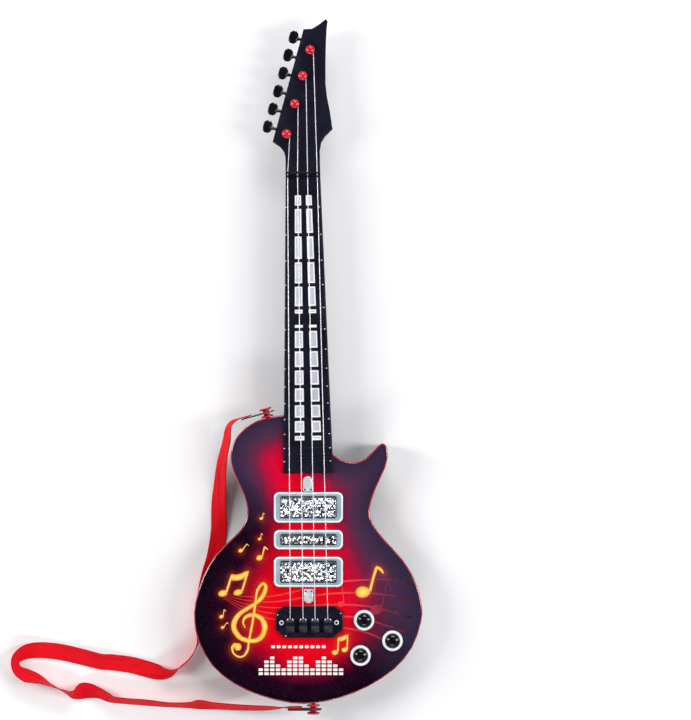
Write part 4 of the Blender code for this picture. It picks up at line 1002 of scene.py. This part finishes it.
def make_notes(materials):
    def new_mesh():
        mesh = bmesh.new()
        return mesh, mesh.verts.layers.float.new("core")

    mesh, core = new_mesh()
    clef = [(x, y, width * CLEF_SPREAD) for x, y, width in round_ends(smooth_line(CLEF, 5))]
    stroke_mesh(mesh, clef, 0.28, core, 0.25)
    head_mesh(mesh, CLEF_FOOT, 0.3, core, 0.28)
    piece("print_clef", mesh, materials["gold"], sharp=60.0)
    for name, strokes in NOTE_STROKES.items():
        mesh, core = new_mesh()
        for index, stroke in enumerate(strokes):
            stroke_mesh(mesh, smooth_line(stroke, 4), 0.22 + 0.03 * index, core)
        for head in NOTE_HEADS[name]:
            head_mesh(mesh, head, 0.3, core)
        piece(f"print_{name}", mesh, materials["gold"], sharp=60.0)
    mesh, core = new_mesh()
    for x, y, size, lean in SMALL_NOTES:
        turn = math.radians(lean)
        head_mesh(mesh, (x, y, size, size * 0.78, 20), 0.24, core)
        foot = Vector((x + size * 0.72, y + size * 0.2))
        up = Vector((math.sin(turn), math.cos(turn)))
        top = foot + up * size * 2.9
        tip = top + Vector((size * 0.85, -size * 0.75))
        stroke_mesh(mesh, [(foot.x, foot.y, size * 0.42), (top.x, top.y, size * 0.42)], 0.16, core)
        stroke_mesh(mesh, [(top.x, top.y, size * 0.5), (tip.x, tip.y, size * 0.3)], 0.2, core)
    piece("print_small_notes", mesh, materials["gold"], sharp=60.0)


def make_staff(materials):
    mesh = bmesh.new()
    core = mesh.verts.layers.float.new("core")
    for row in range(5):
        points = [(x, y - gap * row) for x, y, gap in STAFF]
        line = smooth_line([(x, y, 0.0) for x, y in points], 6)
        first, last = STAFF_WIDTHS
        wide = []
        for index, (x, y, _) in enumerate(line):
            share = index / (len(line) - 1)
            wide.append((x, y, first + (last - first) * share))
        end = len(wide) - 6 * max(0, row - 2)
        stroke_mesh(mesh, wide[:end], 0.03, core)
    for stroke, head in FAINT_NOTES:
        stroke_mesh(mesh, smooth_line(stroke, 3), 0.03, core)
        head_mesh(mesh, head, 0.04, core, 0.02)
    piece("print_staff", mesh, materials["staff"], sharp=60.0)


def make_meter(materials):
    """Columns of small blocks, as on a level meter."""
    start, end, foot, pitch = METER
    width, height, gap = METER_BLOCK
    mesh = bmesh.new()
    columns = int((end - start) / pitch)
    for column in range(columns):
        x = start + (column + 0.5) * pitch
        for block in range(METER_LEVELS[column % len(METER_LEVELS)]):
            y = foot + block * (height + gap) + height / 2
            outline = rounded_rectangle(width, height, 0.45, 3, (x, y))
            add_prism(mesh, outline, PRINT - 0.05, INK + 0.06)
    start, end, y, pitch = DASHES
    for x in np.arange(start + pitch / 2, end, pitch):
        add_prism(mesh, rounded_rectangle(pitch * 0.66, 2.6, 0.6, 3, (x, y)), PRINT - 0.05, INK + 0.06)
    piece("print_level_meter", mesh, materials["ink"])


# Body and trim


def make_shells(materials):
    refined("front_shell", materials["shell"], 0.0)
    refined("rear_shell", materials["black"], 0.0)
    for name in ("strap_button_upper", "strap_button_lower"):
        refined(name, materials["red"], 0.35)
    for name in ("strap_tab_upper", "strap_tab_lower"):
        refined(name, materials["vinyl"], 0.25)


def rectangle_rings(size, middle, rows):
    """Rounded rectangles one above the other, from rows of inset, corner radius and height."""
    rings = []
    for inset, radius, z in rows:
        outline = rounded_rectangle(size[0] - 2 * inset, size[1] - 2 * inset, radius, 8, middle)
        rings.append([(x, y, z) for x, y in outline])
    return rings


def make_bezel(index, materials):
    """A plate with a raised lip, coloured white as a painted highlight along its rounded outer edge, and a
    sloping edge round its window.
    """
    name = f"pickup_bezel_{index + 1}"
    low, high, middle = box_of(name)
    lens_low, lens_high, _ = box_of(f"pickup_lens_{index + 1}")
    outer = (high.x - low.x, high.y - low.y)
    window = (lens_high.x - lens_low.x - 0.8, lens_high.y - lens_low.y - 0.8)
    top = high.z
    steps = [(0.0, FOOT), *((inset, top - drop) for inset, drop in BEZEL_LIP), (BEZEL_LIP[-1][0], FOOT)]
    lip = bmesh.new()
    add_loft(lip, rectangle_rings(outer, middle, [(inset, 5.0 - inset * 0.5, z) for inset, z in steps]), True)
    piece(f"{name}_lip", lip, materials["trim"], stands_for=(name,))
    rings = rectangle_rings(outer, middle, ((1.6, 4.2, FOOT), (1.6, 4.2, top - 0.55), (2.8, 3.5, top - 0.45)))
    slope = ((-1.0, 2.8, top - 0.45), (-0.5, 2.4, top - 0.75), (0.3, 1.8, top - 2.6), (0.3, 1.8, FOOT))
    plate = bmesh.new()
    add_loft(plate, rings + rectangle_rings(window, middle, slope), True)
    piece(f"{name}_plate", plate, materials["bezel"])
    # Near-black band in the joint round the plate: painted shade.
    band = [(inset, radius, PRINT + lift) for (inset, radius), lift in zip(BEZEL_GAP, GAP_LIFTS)]
    gap = bmesh.new()
    add_loft(gap, rectangle_rings(outer, middle, band), True)
    piece(f"{name}_shadow_gap", gap, materials["shadow"])


def make_lens(index, materials):
    """Cut glass in the window: cells of low facets that lean at random, between dark dashes, in a tray."""
    name = f"pickup_lens_{index + 1}"
    low, high, middle = box_of(name)
    rows = 3 if high.y - low.y > 14.0 else 1
    left, foot = low.x + 1.0, low.y + 1.9
    step_x = (high.x - low.x - 2.0) / LENS_COLUMNS
    step_y = (high.y - low.y - 3.8) / rows
    dice = random.Random(40 + index)
    base_z = high.z - 1.5
    facets, dashes = bmesh.new(), bmesh.new()
    for column in range(LENS_COLUMNS):
        for row in range(rows):
            corner = (left + column * step_x, foot + row * step_y)
            add_cut_cell(facets, corner, (step_x - 0.6, step_y - 0.6), base_z, dice)
        x = left + (column + 0.5) * step_x - 0.25
        for y in (low.y + 1.15, high.y - 1.15):
            outline = rounded_rectangle(step_x - 1.6, 0.85, 0.3, 2, (x, y))
            add_prism(dashes, outline, base_z - 0.2, base_z + 0.6)
    piece(f"{name}_facets", facets, materials["lens"], stands_for=(name,), sharp=1.0)
    piece(f"{name}_dashes", dashes, materials["shadow"])
    tray = bmesh.new()
    outline = rounded_rectangle(high.x - low.x + 0.4, high.y - low.y + 0.4, 1.6, 5, middle)
    add_prism(tray, outline, low.z + 1.0, base_z - 0.2)
    piece(f"{name}_tray", tray, materials["tray"])


def add_cut_cell(mesh, corner, size, base_z, dice):
    """One cell of cut glass: rows of low pyramids on a shared base, closed below."""
    across, up = LENS_CUTS
    grid = [[mesh.verts.new((corner[0] + size[0] * column / across, corner[1] + size[1] * row / up,
                             base_z + dice.uniform(0.0, 0.4)))
             for column in range(across + 1)] for row in range(up + 1)]
    for lower, upper in zip(grid, grid[1:]):
        for column in range(across):
            square = (lower[column], lower[column + 1], upper[column + 1], upper[column])
            centre = sum((vert.co for vert in square), Vector()) / 4
            lean_x, lean_y = dice.uniform(-0.3, 0.3), dice.uniform(-0.3, 0.3)
            lean = Vector((lean_x * size[0] / across, lean_y * size[1] / up, dice.uniform(0.05, 0.75)))
            tip = mesh.verts.new(centre + lean)
            for side in range(4):
                mesh.faces.new((square[side], square[(side + 1) % 4], tip))
    right = [row[-1] for row in grid[1:]]
    left = [row[0] for row in reversed(grid[1:-1])]
    rim = [*grid[0], *right, *reversed(grid[-1][:-1]), *left]
    floor = [mesh.verts.new((vert.co.x, vert.co.y, base_z - 0.3)) for vert in rim]
    for index in range(len(rim)):
        after = (index + 1) % len(rim)
        mesh.faces.new((rim[index], floor[index], floor[after], rim[after]))
    mesh.faces.new(floor)


def make_pods(materials):
    """Domed covers over the infrared parts, with two dark marks beside each: painted shade in the notches at
    their foot.
    """
    for name, feet_side in (("ir_emitter_pod", -1), ("ir_receiver_pod", 1)):
        low, high, middle = box_of(name)
        half = (high.x - low.x) / 2
        flat_y = low.y if feet_side < 0 else high.y
        round_y = high.y - half if feet_side < 0 else low.y + half
        angles = [-feet_side * step * math.pi / 12 for step in range(13)]
        rings = []
        for inset, z in ((0.0, PRINT - 0.5), *((inset, high.z - drop) for inset, drop in POD_DOME)):
            reach = half - inset
            flat_end = flat_y - feet_side * inset
            arc = [(middle.x + reach * math.cos(a), round_y + reach * math.sin(a)) for a in angles]
            outline = [(middle.x + reach, flat_end), *arc, (middle.x - reach, flat_end)]
            rings.append([(x, y, z) for x, y in outline])
        cover = bmesh.new()
        add_loft(cover, rings)
        piece(f"{name}_cover", cover, materials["pod"], stands_for=(name,), sharp=50.0)
        # Near-black marks: painted shade in the notches.
        notch_shade = bmesh.new()
        for side in (-1, 1):
            place = (middle.x + side * (half - 1.9), flat_y - feet_side * 2.0)
            add_prism(notch_shade, rounded_rectangle(1.7, 1.5, 0.4, 3, place), high.z - 1.6, high.z + 0.04)
        piece(f"{name}_marks", notch_shade, materials["shadow"])


def make_saddles(materials, top):
    """Ridges along the four moulded saddles, and painted highlights on the top edges where the strings go in.
    """
    shine, ridge = bmesh.new(), bmesh.new()
    core = shine.verts.layers.float.new("core")
    for index in range(4):
        x = string_line(index)[0].x
        for side in (-1, 1):
            edge = x + side * 3.15
            stroke = [(edge - side * 1.3, -54.4, 0.7), (edge + side * 0.2, -56.4, 0.95)]
            stroke_mesh(shine, stroke, 0.1, core)
        for offset in SADDLE_RIDGES:
            rings = []
            for y, drop in SADDLE_SLOPE:
                z = top - drop
                section = ((-0.28, z - 0.6), (0.28, z - 0.6), (0.0, z + 0.22))
                rings.append([(x + offset + across, y, height) for across, height in section])
            add_loft(ridge, rings)
    bmesh.ops.translate(shine, vec=(0.0, 0.0, top - 1.3 - INK), verts=shine.verts)
    piece("bridge_saddle_shine", shine, materials["trim"])
    piece("bridge_saddle_ridges", ridge, materials["board"])


def make_bridge(materials):
    refined("bridge", materials["board"], 0.25)
    low, high, middle = box_of("bridge")
    make_saddles(materials, high.z)
    for name in ("bridge_screw_left", "bridge_screw_right"):
        _, screw_high, place = box_of(name)
        z = screw_high.z
        # White head: painted reflection of the plated metal.
        head = bmesh.new()
        add_turned(head, [(radius, z - drop) for radius, drop in SCREW_HEAD], 28, place, True)
        piece(f"{name}_head", head, materials["trim"], stands_for=(name,))
        # Near-black plug in the bottom of the bore: painted shade in the socket.
        socket = bmesh.new()
        add_turned(socket, ((1.25, z - 1.5), (1.25, z - 0.85)), 6, place)
        piece(f"{name}_socket", socket, materials["shadow"])
    # Small white dots at the plate's corners: painted highlights.
    painted_glints = bmesh.new()
    for place in ((low.x + 2.0, high.y - 8.0), (high.x - 2.2, high.y - 6.6), (low.x + 9.6, low.y + 2.0)):
        add_turned(painted_glints, ((0.55, high.z - 7.7), (0.5, high.z - 7.5), (0.2, high.z - 7.4)), 12, place)
    piece("bridge_corner_pips", painted_glints, materials["trim"])
    blocks = bmesh.new()
    for x in (middle.x - 10.6, middle.x + 10.6):
        outline = rounded_rectangle(13.0, 3.0, 0.8, 3, (x, -69.6))
        add_prism(blocks, outline, high.z - 8.0, high.z - 5.6)
    bevel(piece("bridge_tail_blocks", blocks, materials["board"]), 0.3)


def make_buttons(materials):
    """Plated rings, coloured white as a painted reflection, with painted shade in the joint round them, and
    domed caps that ride on the buttons.
    """
    for index in range(3):
        ring_name, cap_name = f"button_ring_{index + 1}", f"button_cap_{index + 1}"
        low, high, middle = box_of(ring_name)
        top, outer = high.z, (high.x - low.x) / 2
        bore = outer - RING_PROFILE[-1][0]
        profile = [(outer - 0.4, FOOT), (outer, PRINT + 0.3)]
        profile += [(outer - inset, top - drop) for inset, drop in RING_PROFILE]
        profile += [(bore, PRINT - 2.0), (outer - 1.2, PRINT - 2.0)]
        # White ring: painted reflection of its plating.
        ring = bmesh.new()
        add_turned(ring, profile, 48, middle, True)
        piece(f"{ring_name}_trim", ring, materials["trim"], stands_for=(ring_name,))
        cap_low, cap_high, _ = box_of(cap_name)
        shelf = cap_low.z + 1.6
        profile = [(7.7, cap_low.z), (7.7, shelf), (6.55, shelf)]
        profile += [(radius, cap_high.z - drop) for radius, drop in CAP_DOME]
        cap = bmesh.new()
        add_turned(cap, profile, 44, middle)
        body = f"button_{index + 1}"
        piece(f"{cap_name}_dome", cap, materials["gloss"], body, (cap_name,), 50.0)
        # Near-black band in the joint round the ring: painted shade.
        gap = bmesh.new()
        band = [(outer + proud, PRINT + lift) for proud, lift in zip((0.5, 0.5, -0.6, -0.6), GAP_LIFTS)]
        add_turned(gap, band, 48, middle, True)
        piece(f"{ring_name}_shadow_gap", gap, materials["shadow"])


# Neck and headstock


def window_tops(node, neck):
    """Corners of each window's light block in the neck's frame, turning left from its lower left."""
    mesh = cad_mesh(node)
    top = max(vert.co.z for vert in mesh.verts)
    back = neck.inverted()
    squares = []
    for face in mesh.faces:
        if len(face.verts) == 4 and all(at_height(vert, top) for vert in face.verts):
            corners = sorted((back @ vert.co for vert in face.verts), key=lambda point: point.y)
            low_left, low_right = sorted(corners[:2], key=lambda point: point.x)
            high_left, high_right = sorted(corners[2:], key=lambda point: point.x)
            squares.append((low_left, low_right, high_right, high_left))
    mesh.free()
    return squares, top


def window_ring(square, inset, z, neck):
    """A window's outline moved in by an inset, at one height."""
    middle = sum(square, Vector()) / 4
    ring = []
    for point in square:
        x = point.x - math.copysign(inset, point.x - middle.x)
        y = point.y - math.copysign(inset, point.y - middle.y)
        ring.append(neck @ Vector((x, y, 0.0)) + Vector((0.0, 0.0, z)))
    return ring


def add_window_ribs(mesh, square, top, neck):
    """Low rounded ribs across a window, from its lower to its upper rim."""
    low_left, low_right, high_right, high_left = square
    low_y, high_y = low_left.y + 1.3, high_left.y - 1.3
    count = max(2, int((high_y - low_y) / RIB_PITCH))
    for row in range(count):
        y0 = low_y + (high_y - low_y) * row / count
        y1 = low_y + (high_y - low_y) * (row + 1) / count
        share = (y0 - low_left.y) / (high_left.y - low_left.y)
        x0 = low_left.x + (high_left.x - low_left.x) * share + 1.4
        x1 = low_right.x + (high_right.x - low_right.x) * share - 1.4
        profile = [(y0 + (y1 - y0) * along, top - drop) for along, drop in RIB_PROFILE]
        add_loft(mesh, [[neck @ Vector((x, y, z)) for y, z in profile] for x in (x0, x1)])


def make_windows(materials, neck):
    """White rims with finely ribbed milky middles."""
    for node in ("light_guide_upper", "light_guide_lower"):
        squares, top = window_tops(node, neck)
        rims, ribs = bmesh.new(), bmesh.new()
        for square in squares:
            add_loft(rims, [window_ring(square, inset, top + rise, neck) for inset, rise in WINDOW_RIM], True)
            add_window_ribs(ribs, square, top, neck)
        piece(f"{node}_rims", rims, materials["window"], stands_for=(node,))
        piece(f"{node}_ribs", ribs, materials["milky"])


def fret_ends():
    """Both ends of each fret bar's top, left first, and their height."""
    mesh = cad_mesh("fingerboard")
    top = max(vert.co.z for vert in mesh.verts)
    ends = []
    for face in mesh.faces:
        if all(at_height(vert, top) for vert in face.verts):
            points = sorted((vert.co.copy() for vert in face.verts), key=lambda point: point.x)
            ends.append(((points[0] + points[1]) / 2, (points[-1] + points[-2]) / 2))
    mesh.free()
    return ends, top


def make_nut(materials):
    """The nut with a groove for each string, and a keeper over each groove."""
    low, high, middle = box_of("nut")
    slots, keepers, glints = bmesh.new(), bmesh.new(), bmesh.new()
    for index in range(4):
        point = string_line(index)[1]
        slot = bmesh.new()
        add_turned(slot, ((0.62, -9.0), (0.62, 9.0)), 10)
        place = Matrix.Translation((point.x, (low.y + high.y) / 2, high.z + 0.2))
        slot.transform(place @ Matrix.Rotation(math.pi / 2, 4, "X"))
        join_mesh(slots, slot)
        outline = rounded_rectangle(2.2, high.y - low.y - 0.4, 0.5, 3, (point.x, middle.y))
        add_prism(keepers, outline, high.z - 0.4, point.z + 0.75)
        outline = rounded_rectangle(0.9, 1.1, 0.3, 3, (point.x, middle.y))
        add_prism(glints, outline, point.z + 0.4, point.z + 0.85)
    refined("nut", materials["gloss"], 0.2, 2, carve(cad_mesh("nut"), slots))
    bevel(piece("nut_string_keepers", keepers, materials["board"]), 0.2)
    piece("nut_glints", glints, materials["milky"])


def make_neck(materials, neck):
    refined("neck_rear", materials["black"], 0.3)
    refined("fingerboard", materials["board"], 0.22)
    ends, top = fret_ends()
    marks = bmesh.new()
    for pair in ends:
        for point, inwards in zip(pair, (-0.5, -0.9)):
            outline = rounded_rectangle(1.2, 0.7, 0.2, 2, (point.x + inwards, point.y))
            add_prism(marks, outline, top - 0.7, top + 0.06)
    piece("fret_end_marks", marks, materials["window"])
    make_windows(materials, neck)
    make_nut(materials)


def string_line(index):
    """The three points that a packed string runs through: bridge end, nut and post."""
    mesh = packed_mesh(f"string_{index + 1}", False)
    points = sorted((vert.co.copy() for vert in mesh.verts), key=lambda point: point.y)
    mesh.free()
    low = [point for point in points if point.y < points[0].y + 5.0]
    high = [point for point in points if point.y > points[-1].y - 5.0]
    middle = [point for point in points if low[-1].y < point.y < high[0].y]
    return [sum(group, Vector()) / len(group) for group in (low, middle, high)]


def string_points(index):
    """A string's path: from its saddle over the nut, and two turns down its post."""
    bridge, nut, post = string_line(index)
    middle = box_of(f"string_post_{index + 1}")[2]
    reach = (post.xy - middle.xy).length
    start = math.atan2(post.y - middle.y, post.x - middle.x)
    points = [bridge, nut.lerp(bridge, 0.02), nut, nut.lerp(post, 0.06), nut.lerp(post, 0.9), post]
    for step in range(1, 2 * TURN_STEPS + 1):
        turn = start + step / TURN_STEPS * 2 * math.pi
        points.append(Vector((middle.x + reach * math.cos(turn), middle.y + reach * math.sin(turn),
                              post.z - step * TURN_DROP)))
    return points


def make_strings(materials):
    for index in range(4):
        name = f"string_wire_{index + 1}"
        points = string_points(index)
        curve = bpy.data.curves.new(name, "CURVE")
        curve.dimensions = "3D"
        curve.bevel_depth = STRING_RADIUS * MM
        curve.bevel_resolution = 3
        curve.use_fill_caps = True
        spline = curve.splines.new("POLY")
        spline.points.add(len(points) - 1)
        for target, point in zip(spline.points, points):
            target.co = (*(point * MM), 1.0)
        curve.materials.append(materials["strings"])
        wire = bpy.data.objects.new(name, curve)
        bpy.context.scene.collection.objects.link(wire)
        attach(wire, BODY)
        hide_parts(f"string_{index + 1}")


def make_posts(materials):
    """Red caps with a rolled rim on thin shafts."""
    for index in range(4):
        name = f"string_post_{index + 1}"
        low, high, middle = box_of(name)
        outer = (high.x - low.x) / 2
        profile = [(2.3, low.z), (2.3, high.z - 3.3)]
        profile += [(outer - inset, high.z - drop) for inset, drop in POST_RIM]
        profile += [(1.2, high.z - 0.05), (0.4, high.z)]
        cap = bmesh.new()
        add_turned(cap, profile, 36, middle)
        piece(f"{name}_cap", cap, materials["red"], f"post_{index + 1}", (name,), 50.0)


def make_tuners(materials):
    for index in range(6):
        refined(f"tuner_key_{index + 1}", materials["gloss"], 0.3)


# Strap


def strap_sections():
    """Middle, across and through directions of the webbing at each step of its route."""
    line = smooth_line(STRAP_ROUTE, STRAP_STEPS)
    sections = []
    for index, (x, y, z, lean) in enumerate(line):
        before = Vector(line[max(index - 1, 0)][:3])
        after = Vector(line[min(index + 1, len(line) - 1)][:3])
        along = (after - before).normalized()
        side = Vector((-along.y, along.x, 0.0)).normalized()
        up = along.cross(side)
        angle = math.radians(lean)
        across = side * math.cos(angle) + up * math.sin(angle)
        through = along.cross(across)
        hangs = abs(across.z) * STRAP_WIDTH / 2 + abs(through.z) * STRAP_THICKNESS / 2
        sections.append((Vector((x, y, max(z, hangs + STRAP_FLOOR))), across, through))
    return sections


def webbing_ring(section, length):
    """The webbing's outline at one step, upper face first. It ripples slightly along the strap."""
    middle, across, through = section
    ripple = 0.10 * math.sin(length * 0.21) + 0.06 * math.sin(length * 0.57)
    ring = []
    for face, rows in ((1, STRAP_PROFILE), (-1, STRAP_PROFILE[::-1])):
        for share, swell in rows:
            depth = swell * face * 0.86 + ripple * (1 - share * share)
            ring.append(middle + across * (STRAP_WIDTH / 2 * share) + through * (STRAP_THICKNESS / 2 * depth))
    return ring


def make_strap(materials):
    """Flat webbing with rolled selvedges, sewn at both ends."""
    sections = strap_sections()
    steps = [(after[0] - before[0]).length for before, after in zip(sections, sections[1:])]
    lengths = [sum(steps[:index]) for index in range(len(sections))]
    mesh = bmesh.new()
    along_layer = mesh.verts.layers.float.new("along")
    across_layer = mesh.verts.layers.float.new("across")
    rows = add_loft(mesh, [webbing_ring(section, length) for section, length in zip(sections, lengths)])
    sides = [share * STRAP_WIDTH / 2 for share, _ in STRAP_PROFILE + STRAP_PROFILE[::-1]]
    for row, length in zip(rows, lengths):
        for vert, side in zip(row, sides):
            vert[along_layer] = length
            vert[across_layer] = side
    strap = piece("strap_webbing", mesh, materials["webbing"], stands_for=("strap",), sharp=70.0)
    stitches = [make_stitching(end, start, sections, lengths, materials)
                for end, start in (("upper", 2.0), ("lower", lengths[-1] - STITCH_BOX - 2.0))]


def add_stitch(mesh, ends, through):
    """One raised thread between two points, thickest in its middle."""
    along = (ends[1] - ends[0]).normalized()
    side = along.cross(through).normalized() * 0.2
    lift = through * 0.16
    rings = []
    for point, grow in ((ends[0], 0.5), ((ends[0] + ends[1]) / 2, 1.0), (ends[1], 0.5)):
        rings.append([point - side * grow, point + lift * grow - side * 0.5 * grow,
                      point + lift * grow + side * 0.5 * grow, point + side * grow, point - lift * 0.8])
    add_loft(mesh, rings)


def strap_place(distance, sections, lengths):
    """Middle, across and through directions of the webbing at a distance along it."""
    after = int(np.searchsorted(lengths, distance))
    after = min(max(after, 1), len(sections) - 1)
    share = (distance - lengths[after - 1]) / max(lengths[after] - lengths[after - 1], 1e-6)
    return sections[after - 1][0].lerp(sections[after][0], share), sections[after][1], sections[after][2]


def make_stitching(end, start, sections, lengths, materials):
    """A crossed box of thread at one end of the strap, on both sides of the webbing."""
    half = STRAP_WIDTH / 2 - 2.0
    corners = [(0.0, -half), (STITCH_BOX, -half), (STITCH_BOX, half), (0.0, half)]
    seams = [(corners[index], corners[(index + 1) % 4]) for index in range(4)]
    seams += [(corners[0], corners[2]), (corners[1], corners[3])]
    mesh = bmesh.new()
    for first, second in seams:
        first, second = Vector(first), Vector(second)
        count = max(3, int((second - first).length / STITCH_PITCH))
        for step in range(count):
            places = [first.lerp(second, (step + share) / count) for share in (0.14, 0.86)]
            spots = [(*strap_place(start + place.x, sections, lengths), place.y) for place in places]
            for face in (1, -1):
                drop = face * STRAP_THICKNESS * 0.40
                ends = [middle + across * side + through * drop for middle, across, through, side in spots]
                add_stitch(mesh, ends, spots[0][2] * face)
    return piece(f"strap_stitching_{end}", mesh, materials["red"])


# Back and inside


def make_back(materials):
    """The battery door, the power switch and screws with crossed slots."""
    refined("battery_door", materials["black"], 0.25)
    refined("power_switch", materials["gloss"], 0.3)
    corners = [*SLOT_QUARTER, *((-y, x) for x, y in SLOT_QUARTER)]
    corners += [(-x, -y) for x, y in corners]
    for node in ("shell_screw_1", "shell_screw_2", "shell_screw_3", "shell_screw_4", "battery_door_screw"):
        low, _, middle = box_of(node)
        slot = bmesh.new()
        add_prism(slot, [(middle.x + x, middle.y + y) for x, y in corners], low.z - 1.0, low.z + 0.35)
        refined(node, materials["steel"], 0.12, 2, carve(cad_mesh(node), slot))


def make_inside(materials):
    finishes = {
        "circuit": (("neck_led_board", "pickup_led_board", "main_board"), "circuit_board"),
        "rubber": (("button_dome_mat",), "silicone"),
        "cone": (("speaker",), "speaker_black"),
        "cell": (("battery_cell_1", "battery_cell_2", "battery_cell_3"), "cell_wrap"),
        "steel": (("battery_spring_contact", "battery_flat_contact"), "steel"),
    }
    for key, (nodes, slot) in finishes.items():
        for node in nodes:
            refined(node, materials[key], 0.15)


def main():
    make_camera()
    make_studio()
    materials = make_materials()
    make_floor()
    rim = level_chain("front_shell", FACE - 1.2)
    neck, neck_half = neck_frame()
    make_strap(materials)
    make_shells(materials)
    make_face_print(materials, rim, neck, neck_half)
    make_notes(materials)
    make_staff(materials)
    make_meter(materials)
    for index in range(3):
        make_bezel(index, materials)
        make_lens(index, materials)
    make_pods(materials)
    make_bridge(materials)
    make_buttons(materials)
    make_neck(materials, neck)
    make_strings(materials)
    make_posts(materials)
    make_tuners(materials)
    make_back(materials)
    make_inside(materials)


main()
